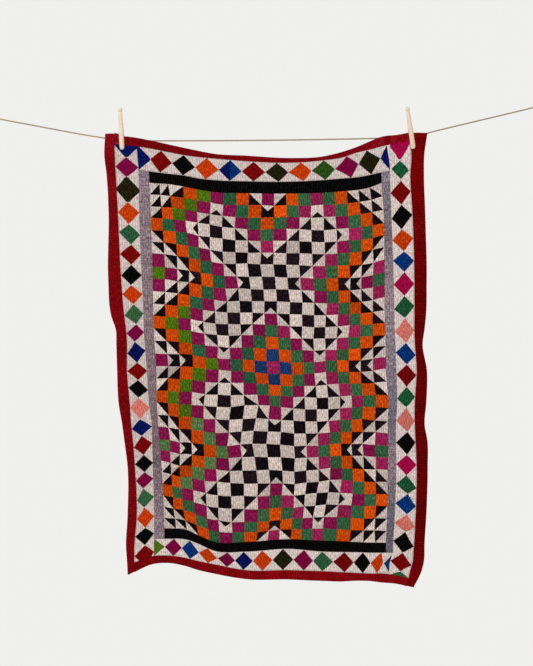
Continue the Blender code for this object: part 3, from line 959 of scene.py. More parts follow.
def patch_dyes(column, row):
    """The dyes of a patch's top, right, bottom and left quarters.

    The panel is two diagonal crosses, one above the other, with rings of patches round each.
    A ring's number is the distance from the cross's arms or, near the corners, from its tips.
    """
    cross_row = 8 if row <= 15 else 22
    beside = abs(column - 10)
    beyond = abs(row - cross_row)
    arm_ring = abs(beside - beyond)
    tip_ring = max(0, beside + beyond - 8)
    ring = max(arm_ring, tip_ring)
    outer = "right" if column > 10 else "left"
    inner = "left" if column > 10 else "right"
    outward = "bottom" if row > cross_row else "top"
    inward = "top" if row > cross_row else "bottom"
    magenta = "magenta" if column <= 9 else "pink_magenta"
    if row in (14, 16) and beside == 0 or row == 15 and beside == 1:
        return ["blue"] * 4
    if beside == 0 and beyond == 7 or row == 15 and beside == 9:
        return [magenta] * 4
    whole = {0: "black", 1: "off_white", 3: magenta, 4: green_of(column, row),
             5: "orange" if column <= 9 else "bright_orange",
             8: magenta, 9: green_of(column, row)}
    corner = row in (1, 29) and beside == 9
    if ring in whole and not corner:
        return [whole[ring]] * 4
    if beyond == 0:
        return quarters("black", "off_white", outer)
    if row == 15:
        return quarters("black", "off_white", outer)
    if beside == 0:
        return quarters("black", "off_white", outward)
    if (beside, beyond) == (6, 4):
        return quarters("off_white", "black", inner)
    if (beside, beyond) == (4, 6):
        return quarters("off_white", "black", inward)
    if tip_ring > arm_ring:
        return quarters("black", "off_white", outer, outward)
    if beside > beyond:
        return quarters("black", "off_white", outer, inward)
    return quarters("black", "off_white", inner, outward)


def quarter_at(p, q):
    """Which quarter of a patch holds a place in it: 0 top, 1 right, 2 bottom, 3 left."""
    return np.where(abs(q) > abs(p), np.where(q < 0, 0, 2), np.where(p > 0, 1, 3))


def quarters(ground, other, *sides):
    """Four quarters of the ground dye, with those on the named sides of the other."""
    dyes = [ground] * 4
    for side in sides:
        dyes[SIDES[side]] = other
    return dyes


def patchwork_chart():
    """Dyes of every patch's quarters as light, and which quarter, if one only, differs."""
    draw = np.random.default_rng(5)
    light = np.zeros((PATCH_ROWS, PATCH_COLUMNS, 4, 3))
    names = []
    for row in range(PATCH_ROWS):
        line = []
        for column in range(PATCH_COLUMNS):
            dyes = patch_dyes(column + 1, row + 1)
            tone = draw.normal(1.0, 0.10)
            faded = draw.random()
            for side, dye in enumerate(dyes):
                if dye == "black" and column > 2 and faded > 0.55:
                    dye = "plum_black"
                elif dye == "pink_magenta" and faded < 0.35:
                    dye = "magenta"
                light[row, column, side] = plain_dye(dye) * tone
            line.append(dyes)
        names.append(line)
    return light, names


# ---------------------------------------------------------------- panel

PATCH_CUTS = np.array((-1.0, -0.91, -0.74, -0.48, -0.22, 0.0, 0.22, 0.48, 0.74, 0.91, 1.0))
CELLS = len(PATCH_CUTS) - 1


def patch_grid(count):
    """Along `count` patches: each point's patch, and its place in it from -1 to 1."""
    patch = np.repeat(np.arange(count), CELLS)
    place = np.tile(PATCH_CUTS[:-1], count)
    return np.append(patch, count - 1), np.append(place, 1.0)


def corner_slips(seed, amount):
    """How far each patch corner slips, in patches: a bell-shaped scatter without its tails."""
    draw = np.random.default_rng(seed)
    slip = draw.normal(0, amount, (PATCH_ROWS + 1, PATCH_COLUMNS + 1))
    return np.clip(slip, -2 * amount, 2 * amount)


def sample(table, across, down):
    """A table read between its entries, straight along each side."""
    column = np.clip(np.floor(across).astype(int), 0, table.shape[1] - 2)
    row = np.clip(np.floor(down).astype(int), 0, table.shape[0] - 2)
    s, t = across - column, down - row
    upper = table[row, column] * (1 - s) + table[row, column + 1] * s
    lower = table[row + 1, column] * (1 - s) + table[row + 1, column + 1] * s
    return upper * (1 - t) + lower * t


def stray_patches(across, down):
    """Places in patches, moved as the seams wander and the corners slip.

    Both are read straight between their entries; the panel's own seams stay put.
    """
    amount = bpy.context.scene.ralli_cloth.uneven
    aside = corner_slips(21, amount)
    aside[:, 0] = aside[:, -1] = 0
    along = corner_slips(22, amount)
    along[0, :] = along[-1, :] = 0
    column = np.interp(across, WANDER_COLUMNS, np.arange(len(WANDER_COLUMNS)))
    row = np.interp(down, WANDER_ROWS, np.arange(len(WANDER_ROWS)))
    wide, high = WIDTHS[3] / PATCH_COLUMNS, HEIGHTS[3] / PATCH_ROWS
    return (across + sample(aside, across, down) + sample(WANDER_ASIDE, column, row) / wide,
            down + sample(along, across, down) + sample(WANDER_DOWN, column, row) / high)


def patch_under(across, down):
    """The patch and the place in it that lie under a point: the strays undone in six steps."""
    column, row = across, down
    for _ in range(6):
        strayed_across, strayed_down = stray_patches(column, row)
        column = column + across - strayed_across
        row = row + down - strayed_down
    return column, row


def make_panel():
    """The patchwork: each patch a square of cells with a mesh edge along every seam.

    A patch's height is a pillow, the product of (1 - p^2) and (1 - q^2) to the power 0.7,
    less a bell-shaped groove along its seams. Where one quarter alone has its own dye, the
    patch's middle moves towards that side, which makes the quarter smaller.
    """
    cloth = bpy.context.scene.ralli_cloth
    light, names = patchwork_chart()
    column, p_line = patch_grid(PATCH_COLUMNS)
    row, q_line = patch_grid(PATCH_ROWS)
    column, row = np.meshgrid(column, row)
    p, q = np.meshgrid(p_line, q_line)
    lone = np.zeros((PATCH_ROWS, PATCH_COLUMNS, 2))
    slope = np.zeros((PATCH_ROWS, PATCH_COLUMNS), dtype=int)
    ways = {0: (0, -1), 1: (1, 0), 2: (0, 1), 3: (-1, 0)}
    for i, line in enumerate(names):
        for j, dyes in enumerate(line):
            others = [side for side in range(4) if dyes[side] != dyes[side - 2]]
            if len(others) == 4:
                slope[i, j] = 1 if dyes[0] == dyes[1] else 2
            elif len(others) == 2:
                side = others[0] if dyes.count(dyes[others[0]]) == 1 else others[1]
                lone[i, j] = ways[side]
    aim = lone[row, column]
    near = 1 - np.maximum(abs(p), abs(q))
    shrink = 0.08
    local_p = p + shrink * aim[..., 0] * near
    local_q = q + shrink * aim[..., 1] * near
    across, down = stray_patches(column + (local_p + 1) / 2, row + (local_q + 1) / 2)
    half = 0.5 * WIDTHS[3] / PATCH_COLUMNS
    seam = sunk_seam(near * half)
    kind = slope[row, column]
    seam = np.maximum(seam, (kind == 1) * sunk_seam(abs(p - q) * half / math.sqrt(2)))
    seam = np.maximum(seam, (kind == 2) * sunk_seam(abs(p + q) * half / math.sqrt(2)))
    facing_aim = (p * aim[..., 0] + q * aim[..., 1]) > 0
    seam = np.maximum(seam, facing_aim * sunk_seam(abs(abs(p) - abs(q)) * half))
    pillow = ((1 - p ** 2) * (1 - q ** 2)) ** 0.7
    height = CLOTH_THICKNESS / 2 + cloth.puff * pillow - cloth.groove * seam
    cell_p = (p[:-1, :-1] + np.where(p[1:, 1:] > p[:-1, :-1], p[1:, 1:], 1.0)) / 2
    cell_q = (q[:-1, :-1] + np.where(q[1:, 1:] > q[:-1, :-1], q[1:, 1:], 1.0)) / 2
    rising = cell_p * cell_q < 0
    dye = quarter_dyes(light, column[:-1, :-1], row[:-1, :-1], p[:-1, :-1], q[:-1, :-1], rising)
    return cloth_sheet("patchwork_panel", 3 + across / PATCH_COLUMNS, 3 + down / PATCH_ROWS,
                       height, finish_once("patch_cloth", cotton_finish, "patch_cloth"), rising, dye)


def next_cut(cut):
    """The cut that follows each one across a patch."""
    return PATCH_CUTS[np.searchsorted(PATCH_CUTS, cut) + 1]


def quarter_dyes(light, column, row, p, q, rising):
    """The dye of each cell's two triangles, from the quarter that its middle lies in."""
    p_far, q_far = next_cut(p), next_cut(q)
    first_p = (2 * p + p_far) / 3
    first_q = np.where(rising, (2 * q + q_far) / 3, (q + 2 * q_far) / 3)
    second_p = (p + 2 * p_far) / 3
    second_q = np.where(rising, (q + 2 * q_far) / 3, (2 * q + q_far) / 3)
    middle_p = np.stack((first_p, second_p), -1)
    middle_q = np.stack((first_q, second_q), -1)
    return light[row[..., None], column[..., None], quarter_at(middle_p, middle_q)]


# ---------------------------------------------------------------- strips and borders

def strip_places(sizes, first, last, cell):
    """Places from seam `first` to seam `last` about `cell` mm apart, with extra by the seams."""
    places = []
    for band in range(first, last):
        count = max(2, round(sizes[band] / cell))
        places.extend(band + np.arange(count) / count)
    places.append(last)
    near = np.array((0.5, 1.4))
    start = first + near / sizes[first]
    end = last - near / sizes[last - 1]
    return np.unique(np.concatenate((places, start, end)))


def make_strip(name, columns, rows, finish, dye_of, slot, node):
    """A plain strip between two pairs of seams; `dye_of` gives its colour at a flat place."""
    cloth = bpy.context.scene.ralli_cloth
    across = strip_places(WIDTHS, *columns, 4.0)
    down = strip_places(HEIGHTS, *rows, 1.8)
    across, down = np.meshgrid(across, down)
    distance = from_edge(across, down, columns, rows)
    height = (CLOTH_THICKNESS / 2 - cloth.groove * sunk_seam(distance)
              + 0.6 * cloth.puff * (1 - np.exp(-distance / 6)))
    cell_across = (across[:-1, :-1] + across[1:, 1:]) / 2
    cell_down = (down[:-1, :-1] + down[1:, 1:]) / 2
    dye = dye_of(cell_across, cell_down)
    dye = np.repeat(dye[:, :, None, :], 2, axis=2)
    piece = cloth_sheet(name, across, down, height, finish, None, dye)
    return settle(piece, slot, node)


def soft_noise(values, seed, length):
    """Smooth noise from 0 to 1 along one line: a few waves of about that length."""
    draw = np.random.default_rng(seed)
    total = np.zeros_like(values)
    for _ in range(7):
        total += np.sin(2 * math.pi * values / (length * draw.uniform(0.5, 1.8))
                        + draw.uniform(0, 2 * math.pi))
    return 0.5 + 0.5 * np.tanh(total / 2.2)


# How the lilac strips change on their way down: drop, light sent back, bluish share.
LEFT_LILAC = ((100, 1.0, 0.2), (650, 0.9, 0), (850, 0.7, 0), (1000, 1.0, 0.2))
RIGHT_LILAC = ((100, 1.0, 0.8), (250, 0.7, 0.4), (420, 1.2, 0), (600, 1.0, 0.7),
               (750, 0.7, 1), (850, 1.1, 0), (1000, 0.6, 1))


def lilac_dye(stretches, across, down):
    """Mauve that turns bluish or darker in long stretches, with a faint rib every 6.8 mm.

    Light and bluish share are straight between the stretches' ends; a rib is a sine, painted
    into the mauve as shade.
    """
    station, drop = station_and_drop(across.ravel(), down.ravel())
    places, light, bluish = np.array(stretches).T
    # Painted shade of the strip's ribs: a sine that darkens and lightens the mauve every 6.8 mm.
    ribs = 1 + 0.13 * np.sin(2 * math.pi * drop / LILAC_RIB + 2.0 * np.sin(drop / 41))
    cloudy = 0.91 + 0.18 * soft_noise(drop + 0.3 * station, 4, 34)
    tone = np.interp(drop, places, light) * ribs * cloudy
    share = np.interp(drop, places, bluish)[:, None]
    dye = plain_dye("lilac") * (1 - share) + plain_dye("blue_lilac") * share
    return (dye * tone[:, None]).reshape(*across.shape, 3)


def lilac_left_dye(across, down):
    """The left strip's mauve."""
    return lilac_dye(LEFT_LILAC, across, down)


def lilac_right_dye(across, down):
    """The right strip's mauve."""
    return lilac_dye(RIGHT_LILAC, across, down)


def black_dye(across, down):
    """Even black."""
    return plain_dye("jet") * (0.9 + 0.2 * soft_noise(across * 90, 6, 20))[..., None]


DIAMOND_CELLS = 14


def diamond_net(chart):
    """Nine corners for each diamond's cell: its points, its middle and the white corners.

    Two arrays come back, the place along the border and the share across it, each with a
    3 x 3 net for each diamond, along first.
    """
    meets = np.array([row[1] for row in chart], dtype=float)
    shares = np.array([row[2] for row in chart], dtype=float)
    first = np.array([row[3] for row in chart], dtype=float)
    second = np.array([row[4] for row in chart], dtype=float)
    count = len(chart) - 1
    along = np.zeros((count, 3, 3))
    share = np.zeros((count, 3, 3))
    before_first = np.concatenate(([2 * meets[0] - first[0]], first))
    before_second = np.concatenate(([2 * meets[0] - second[0]], second))
    edge_first = (before_first[:-1] + before_first[1:]) / 2
    edge_second = (before_second[:-1] + before_second[1:]) / 2
    along[:, 0] = np.stack((edge_first[:count], meets[:count], edge_second[:count]), -1)
    along[:, 2] = np.stack((edge_first[1:], meets[1:], edge_second[1:]), -1)
    along[:, 1] = np.stack((first[:count], (first + second)[:count] / 2, second[:count]), -1)
    share[:, 0] = np.stack((np.zeros(count), shares[:count], np.ones(count)), -1)
    share[:, 2] = np.stack((np.zeros(count), shares[1:], np.ones(count)), -1)
    share[:, 1] = (share[:, 0] + share[:, 2]) / 2
    return along, share


def spread_net(net):
    """The nets as one grid: straight between a net's corners, diamond after diamond."""
    count = len(net)
    steps = np.linspace(0, 2, DIAMOND_CELLS + 1)
    across, down = np.meshgrid(steps, steps[:-1])
    parts = [sample(cell, across, down) for cell in net]
    last = sample(net[-1], steps[None, :], np.full((1, len(steps)), 2.0))
    return np.concatenate(parts + [last]), count


def make_border(name, chart, upright, columns, rows, node):
    """A border of diamonds whose points touch both seams, on off-white.

    Inside a diamond |p| + |q| is under 1; the cells' diagonals run along that line.
    """
    cloth = bpy.context.scene.ralli_cloth
    along_net, share_net = diamond_net(chart)
    along, count = spread_net(along_net)
    share, _ = spread_net(share_net)
    lines = DIAMOND_CELLS
    q = np.append(np.tile(np.arange(lines) * 2 / lines - 1, count), 1.0)[:, None]
    q = q + 0 * along
    p = np.linspace(-1, 1, lines + 1)[None, :] + 0 * along
    if upright:
        across = columns[0] + share
        station = between_seams(read_lines(SEAMS_DOWN, along.ravel()), across.ravel())
        down = seam_place(read_lines(SEAMS_ACROSS, station), along.ravel())
        down = np.clip(down, rows[0], rows[1]).reshape(along.shape)
    else:
        down = rows[0] + share
        drop = between_seams(read_lines(SEAMS_ACROSS, along.ravel()), down.ravel())
        across = seam_place(read_lines(SEAMS_DOWN, drop), along.ravel())
        across = np.clip(across, columns[0], columns[1]).reshape(along.shape)
    distance = from_edge(across, down, columns, rows)
    beside = abs(abs(p) + abs(q) - 1) * 0.35 * WIDTHS[1]
    seam = np.maximum(sunk_seam(distance), sunk_seam(beside))
    height = (CLOTH_THICKNESS / 2 - cloth.groove * 0.8 * seam
              + 0.7 * cloth.puff * (1 - np.exp(-np.minimum(beside, distance) / 5)))
    step = 2 / lines
    cell_p, cell_q = p[:-1, :-1] + step / 2, q[:-1, :-1] + step / 2
    rising = cell_p * cell_q > 0
    white = plain_dye("border_white") * white_tone(across[:-1, :-1], down[:-1, :-1])
    dye = diamond_dyes(chart, cell_p, cell_q, step, rising, white)
    if not upright:
        across, down, height = across.T, down.T, height.T
        dye = np.where(rising[..., None, None], dye, dye[:, :, ::-1])
        rising = rising.T
        dye = dye.transpose(1, 0, 2, 3)
    finish = finish_once("diamond_cloth", cotton_finish, "diamond_cloth", 0.0009, 0.12,
                         0.20, 1.30, 0.32)
    piece = cloth_sheet(name, across, down, height, finish, rising, dye)
    return settle(piece, "diamond_cotton", node)


def white_tone(across, down):
    """The borders' white as a share of its palest: greyest at the top left corner."""
    left = 0.65 + 0.38 * (down / 7) ** 1.6
    right = 0.967 + 0.069 * down / 7
    return (left + (right - left) * across / 7)[..., None]


def reach_of(row):
    """How far a diamond reaches towards its cell's edge: 1, or more where seams cut it."""
    return row[6] / 7 if len(row) > 6 else 1.0


def diamond_dyes(chart, cell_p, cell_q, step, rising, white):
    """The dye of each cell's two triangles: the diamond's own inside |p| + |q| = its reach.

    The two triangles are the upper left and lower right of a rising cut, or the lower left
    and upper right of the other.
    """
    third = step / 6
    first_p = cell_p - third
    first_q = np.where(rising, cell_q - third, cell_q + third)
    second_p = cell_p + third
    second_q = np.where(rising, cell_q + third, cell_q - third)
    number = np.arange(len(cell_p)) // DIAMOND_CELLS
    reach = np.array([reach_of(row) for row in chart])[number][:, None, None]
    inside = np.stack((abs(first_p) + abs(first_q), abs(second_p) + abs(second_q)),
                      -1) < reach
    draw = np.random.default_rng(17)
    tone = draw.normal(1.0, 0.06, len(chart))
    own = np.array([(plain_dye(row[0]), plain_dye(row[5] if len(row) > 5 else row[0]))
                    for row in chart]) * tone[:, None, None]
    own = own[number[:, None], (cell_q > 0).astype(int)][:, :, None, :]
    return np.where(inside[..., None], own, white[:, :, None, :])


# ---------------------------------------------------------------- bindings

def binding_section(points):
    """A folded strip's section: share across its width, and height from -1 to 1.

    It is a flattened ring, cos t across and a steep power of sin t in height.
    """
    t = round_turn(points)
    share = 0.5 - 0.5 * np.sign(np.cos(t)) * abs(np.cos(t)) ** 0.75
    height = np.sign(np.sin(t)) * abs(np.sin(t)) ** 0.45
    return share, height


def make_binding(name, upright, band, span, dye_of, seed, ribbed, node):
    """A folded strip round the quilt's edge, ribbed by its stitches.

    The section is carried along the edge; its ends close like a pillow's. Ribs are a sine
    along the strip, 6.4 mm long, whose height comes and goes; `ribbed` is their share. The
    same sine is painted into the dye as shade in the ribs' troughs and light on their crests.
    """
    cloth = bpy.context.scene.ralli_cloth
    sizes, sizes_across = (HEIGHTS, WIDTHS) if upright else (WIDTHS, HEIGHTS)
    pitch = 1.35
    along = np.concatenate([b + np.arange(round(sizes[b] / pitch)) / round(sizes[b] / pitch)
                            for b in range(*span)] + [[span[1]]])
    flat = running_total(sizes)
    run = np.interp(along, SEAMS, flat)
    share, level = binding_section(30)
    from_end = np.minimum(run - run[0], run[-1] - run)
    close = np.sqrt(1 - (1 - np.clip(from_end / BINDING_END, 0, 1)) ** 2)
    strength = ribbed * soft_noise(run, seed, 160)
    wave = np.sin(2 * math.pi * run / BINDING_RIB + 2.5 * soft_noise(run, seed + 1, 60))
    rib = cloth.rib * (0.25 * ribbed + 0.75 * strength) * wave
    half = BINDING_THICKNESS / 2
    crown = np.clip(level, 0, 1)[None, :] * rib[:, None]
    height = (half * level[None, :] + crown) * close[:, None]
    outer = band == 0
    width_share = share if outer else 1 - share[::-1]
    if not outer:
        height = height[:, ::-1]
    spare = BINDING_OVERHANG / sizes_across[band]
    low, high = (-spare, 1.0) if outer else (0.0, 1.0 + spare)
    cross = band + low + (high - low) * width_share[None, :] + 0 * height
    line = along[:, None] + 0 * height
    across, down = (cross, line) if upright else (line, cross)
    rows, columns = height.shape
    station, drop = station_and_drop(across.ravel(), down.ravel())
    proud = height.ravel() + cloth.wrinkle * 0.6 * wrinkle_height(station, drop)
    points = hang(across.ravel(), down.ravel()) + facing(across.ravel(), down.ravel()) \
        * proud[:, None]
    faces = grid_quads(rows, columns, True)
    if not upright:
        faces = faces[:, ::-1]
    dye = dye_of(station.reshape(rows, columns), drop.reshape(rows, columns))
    # Painted shade and light of the ribs: the dye is darker in their troughs and lighter on their
    # crests.
    shade = 1.0 + (0.14 * ribbed + 0.42 * strength) * wave
    dye = (dye * shade[:, None, None])[:-1].reshape(-1, 3)
    flat_map = flat_metres(across.ravel(), down.ravel())
    finish = finish_once("binding_cloth", cotton_finish, "binding_cloth", 0.0009, 0.12,
                         0.25, 0.7, 0.05)
    piece = mesh_piece(name, points, faces, finish, flat_map, dye, weld=True)
    front_out(piece)
    return settle(piece, "red_cotton", node)


def front_out(piece):
    """Turn a closed piece's faces outwards."""
    solid = bmesh.new()
    solid.from_mesh(piece.data)
    bmesh.ops.recalc_face_normals(solid, faces=solid.faces)
    solid.to_mesh(piece.data)
    solid.free()


def left_binding_dye(station, drop):
    """Red, with a cerise stretch at the pegged corner."""
    corner = 0.25 * smooth_step((70 - drop) / 25)[..., None]
    tone = 0.88 + 0.24 * soft_noise(drop, 31, 90)[..., None]
    return (plain_dye("binding_red") * (1 - corner) + plain_dye("binding_cerise") * corner) * tone


def right_binding_dye(station, drop):
    """A darker red, paler towards its two ends."""
    tone = 0.90 + 0.20 * soft_noise(drop, 33, 90)
    tone = tone * np.interp(drop, (100, 350, 1050, 1150), (1.2, 0.9, 0.9, 1.2))
    return plain_dye("binding_dark_red") * tone[..., None]


def level_binding_dye(station, drop):
    """Red, brighter below, with cerise stretches near the two pegs."""
    tone = 0.86 + 0.28 * soft_noise(station, 35, 40)[..., None]
    above = smooth_step((200 - drop) / 50)
    faded = above * np.maximum(smooth_step((station - 180) / 120) * 0.6
                               * soft_noise(station, 36, 30),
                               0.8 * smooth_step((-366 - station) / 4))
    faded = faded[..., None]
    dye = plain_dye("binding_red") * (1 - faded) + plain_dye("binding_cerise") * 1.1 * faded
    brighter = np.interp(station, (-250, -50), (0.8, 1.0))
    return dye * tone * (brighter * (1.22 - 0.22 * above))[..., None]


# ---------------------------------------------------------------- back and stitches

def make_back():
    """The quilt's plain back: one sheet behind the pieced front, facing the wall."""
    across = strip_places(WIDTHS, 0, 7, 8.0)
    down = strip_places(HEIGHTS, 0, 7, 8.0)
    across = np.clip(across, 0.25, 6.75)
    down = np.clip(down, 0.25, 6.75)
    across, down = np.meshgrid(np.unique(across), np.unique(down))
    behind = np.full(across.size, -CLOTH_THICKNESS / 2)
    points = laid(across.ravel(), down.ravel(), behind)
    faces = grid_triangles(*across.shape).reshape(-1, 3)[:, ::-1]
    dye = np.repeat(plain_dye("backing")[None, :], len(faces), axis=0)
    finish = finish_once("backing_cloth", cotton_finish, "backing_cloth", 0.0011, 0.12,
                         0.18, 0.6, 0.30)
    piece = mesh_piece("quilt_back", points, faces, finish,
                       flat_metres(across.ravel(), down.ravel()), dye)
    return settle(piece, "diamond_cotton")


def stitch_places(columns, rows, seed, row_pitch, stitch_pitch):
    """Flat places of running stitches in rows down a piece, each a little out of line."""
    draw = np.random.default_rng(seed)
    widths = running_total(WIDTHS)
    heights = running_total(HEIGHTS)
    left = widths[columns[0]] + STITCHES_FROM_SIDE
    right = widths[columns[1]] - STITCHES_FROM_SIDE
    top, bottom = heights[rows[0]] + STITCHES_FROM_END, heights[rows[1]] - STITCHES_FROM_END
    start = math.ceil(left / row_pitch) * row_pitch
    u = np.arange(start, right, row_pitch)
    v = np.arange(top, bottom, stitch_pitch)
    u, v = np.meshgrid(u, v, indexing="ij")
    v = v + draw.uniform(0, stitch_pitch, (len(u), 1)) + draw.normal(0, 0.35, u.shape)
    u = u + 0.5 * np.sin(v / 31 + draw.uniform(0, 6.3, (len(u), 1))) + draw.normal(0, 0.15,
                                                                                u.shape)
    inside = (v < bottom) & (u > left - 1) & (u < right + 1)
    return u[inside], v[inside]


def stitches(name, u, v, lengthways, base, colours, slot, behind=False):
    """Running stitches as small ridges on the cloth: each a four-sided base and a ridge.

    `u` and `v` are flat places in mm. The base sinks into the cloth and the ridge line
    stands 0.28 mm proud of it.
    """
    widths = running_total(WIDTHS)
    heights = running_total(HEIGHTS)
    draw = np.random.default_rng(len(u))
    half = draw.uniform(1.05, 1.45, len(u))
    wide = STITCH_HALF_WIDTH
    corners = np.array(((-wide, -1), (wide, -1), (wide, 1), (-wide, 1), (0, -0.62), (0, 0.62)))
    rise = np.array([-STITCH_SINK] * 4 + [STITCH_RISE] * 2)
    side = corners[None, :, 0] + 0 * half[:, None]
    along = corners[None, :, 1] * half[:, None]
    if not lengthways:
        side, along = along, side
    across = np.interp(u[:, None] + side, widths, SEAMS).ravel()
    down = np.interp(v[:, None] + along, heights, SEAMS).ravel()
    level = (base[:, None] + rise[None, :] * MM).ravel()
    if behind:
        level = -level
    points = laid(across, down, level)
    triangles = np.array(((0, 1, 4), (1, 2, 5), (1, 5, 4), (2, 3, 5), (3, 0, 4), (3, 4, 5)))
    faces = (triangles[None] + 6 * np.arange(len(u))[:, None, None]).reshape(-1, 3)
    if not lengthways:
        faces = faces[:, ::-1]
    if behind:
        faces = faces[:, ::-1]
    flat = np.column_stack((across, down)) * 0.1
    dye = np.repeat(colours, len(triangles), axis=0)
    piece = mesh_piece(name, points, faces, finish_once("quilting_thread", thread_finish),
                       flat, dye)
    return settle(piece, slot)


def panel_stitches():
    """Rows of running stitches down the patchwork, in thread close to each patch's dye."""
    cloth = bpy.context.scene.ralli_cloth
    light, _ = patchwork_chart()
    u, v = stitch_places((3, 4), (3, 4), 41, cloth.row_pitch / MM, cloth.stitch_pitch / MM)
    left, top = WIDTHS[:3].sum(), HEIGHTS[:3].sum()
    column, row = patch_under((u - left) / WIDTHS[3] * PATCH_COLUMNS,
                              (v - top) / HEIGHTS[3] * PATCH_ROWS)
    own_column = np.clip(column.astype(int), 0, PATCH_COLUMNS - 1)
    own_row = np.clip(row.astype(int), 0, PATCH_ROWS - 1)
    p = 2 * (column - own_column) - 1
    q = 2 * (row - own_row) - 1
    ground = light[own_row, own_column, quarter_at(p, q)]
    edge = 1 - np.maximum(abs(p), abs(q))
    keep = edge > 0.13
    base = CLOTH_THICKNESS / 2 + cloth.puff * ((1 - p ** 2) * (1 - q ** 2)) ** 0.7
    colours = thread_colour(ground)
    return stitches("panel_stitches", u[keep], v[keep], True, base[keep], colours[keep],
                    "patchwork_cotton")


def diamond_under(chart, share, along):
    """The dye under places on a border: its diamond's own where |p| + |q| is under 1.

    `share` is from 0 to 1 across the border and `along` in millimetres; p and q are read
    between the lines through a diamond's two ends and its middle.
    """
    along_net, _ = diamond_net(chart)
    p = 2 * share - 1
    dye = np.repeat(0.9 * plain_dye("border_white")[None, :], len(share), axis=0)
    for row, net in zip(chart, along_net):
        start, middle, end = (np.interp(p, (-1, 0, 1), line) for line in net)
        q = np.where(along < middle, (along - middle) / np.maximum(middle - start, 1),
                     (along - middle) / np.maximum(end - middle, 1))
        inside = (abs(p) + abs(q) < reach_of(row)) & (abs(q) < 1)
        dye[inside] = plain_dye(row[0])
        if len(row) > 5:
            dye[inside & (q > 0)] = plain_dye(row[5])
    return dye


def border_stitches():
    """Rows of running stitches down the borders and strips, in thread near each dye."""
    cloth = bpy.context.scene.ralli_cloth
    pitches = cloth.row_pitch / MM, cloth.stitch_pitch / MM
    widths = running_total(WIDTHS)
    heights = running_total(HEIGHTS)
    pieces = (
        ((1, 2), (1, 6), LEFT_DIAMONDS, True), ((5, 6), (1, 6), RIGHT_DIAMONDS, True),
        ((2, 5), (1, 2), TOP_DIAMONDS, False), ((2, 5), (5, 6), BOTTOM_DIAMONDS, False),
        ((2, 3), (2, 5), "lilac", True), ((4, 5), (2, 5), "lilac", True),
        ((3, 4), (2, 3), "black", False), ((3, 4), (4, 5), "black", False))
    places = []
    for number, (columns, rows, chart, upright) in enumerate(pieces):
        u, v = stitch_places(columns, rows, 61 + number, *pitches)
        across = np.interp(u, widths, SEAMS)
        down = np.interp(v, heights, SEAMS)
        if isinstance(chart, str):
            dye = np.repeat(plain_dye(chart)[None, :], len(u), axis=0)
        else:
            station, drop = station_and_drop(across, down)
            dye = diamond_under(chart, *((across - columns[0], drop) if upright
                                         else (down - rows[0], station)))
        places.append(np.column_stack((u, v, dye)))
    places = np.concatenate(places)
    base = np.full(len(places), CLOTH_THICKNESS / 2 + 0.6 * cloth.puff)
    return stitches("border_stitches", places[:, 0], places[:, 1], True, base,
                    thread_colour(places[:, 2:]), "diamond_cotton")


def thread_colour(ground):
    """Thread that took up some of the cloth's dye."""
    return ground * 0.82 + 0.018


# ---------------------------------------------------------------- pegs

def peg_profile():
    """The peg's outline from the top of its ball head to the rounded tips of its legs."""
    head = [(0.0062 * math.sin(math.radians(a)),
             PEG_LENGTH - 0.0062 * (1 - math.cos(math.radians(a))))
            for a in range(0, 141, 10)]
    body = [
        # radius, height
        (0.0039, PEG_LENGTH - 0.0125),
        (0.0049, PEG_LENGTH - 0.0155),
        (0.0052, PEG_LENGTH - 0.0200),
        (0.0056, PEG_LENGTH - 0.0330),
        (0.0061, SLOT_DEPTH - 0.0010),
        (0.0065, SLOT_DEPTH - 0.0090),
        (0.0067, SLOT_DEPTH - 0.0170),
        (0.0068, SLOT_DEPTH - 0.0250),
        (0.0068, 0.0300),
        (0.0068, 0.0180),
        (0.0066, 0.0090),
        (0.0061, 0.0040),
        (0.0048, 0.0012),
        (0.0026, 0.0002),
    ]
    return np.array(head + body + [(0.0, 0.0)])


def leg_spread(height):
    """How far each leg stands out at a height, growing down from the slot's root."""
    below = np.clip((SLOT_DEPTH - height) / SPREAD_LENGTH, 0, 1)
    return LEG_SPREAD * np.sin(below * math.pi / 2)


def smooth_profile(profile, count):
    """The outline as a smooth curve with points evenly along it."""
    chord = run_along(profile)
    at = np.linspace(0, chord[-1], count)
    curve = read_lines(np.column_stack((chord, profile)), at)
    curve[0], curve[-1] = profile[0], profile[-1]
    curve[:, 0] = np.maximum(curve[:, 0], 0)
    return curve


def peg_place(points, place):
    """Peg points, upright with leg tips at the origin, put where the peg stands."""
    lean = math.radians(place["lean_deg"])
    x = points[:, 0] * math.cos(lean) + points[:, 2] * math.sin(lean)
    z = -points[:, 0] * math.sin(lean) + points[:, 2] * math.cos(lean)
    middle = np.array((QUILT_MIDDLE_X + place["station"] * MM, PEG_Y,
                       CORNER_LEVEL_Z - place["drop"] * MM))
    return np.column_stack((x, points[:, 1], z)) + middle


def turned_points(profile, sides):
    """A profile turned about Z: a ring of points for each of its points."""
    angle = round_turn(sides)
    x = profile[:, :1] * np.cos(angle)[None, :]
    y = profile[:, :1] * np.sin(angle)[None, :]
    z = profile[:, 1:] + 0 * x
    return x, y, z


def make_peg(side, place):
    """A dolly peg: turned, sawn up the middle and sprung open over the cloth and line.

    Below the slot's root the turned points move out to each side by the legs' spread, and
    the sawn slot follows the same curve.
    """
    hardware = bpy.context.scene.ralli_hardware
    sides = hardware.peg_sides
    profile = smooth_profile(peg_profile(), 110)
    x, y, z = turned_points(profile, sides)
    y = y + np.sign(np.round(y, 9)) * leg_spread(z)
    points = np.column_stack((x.ravel(), y.ravel(), z.ravel()))
    faces = grid_quads(len(profile), sides, True)
    finish = finish_once("bare_beech", beech_finish, hardware.beech)
    flat = np.column_stack(((0 * x + round_turn(sides)[None, :] * 0.007).ravel(), z.ravel()))
    peg = mesh_piece("dolly_peg_" + side, peg_place(points, place), faces, finish, flat,
                     weld=True)
    front_out(peg)
    saw_slot(peg, place)
    return settle(peg, "peg_beech", "peg_" + side)


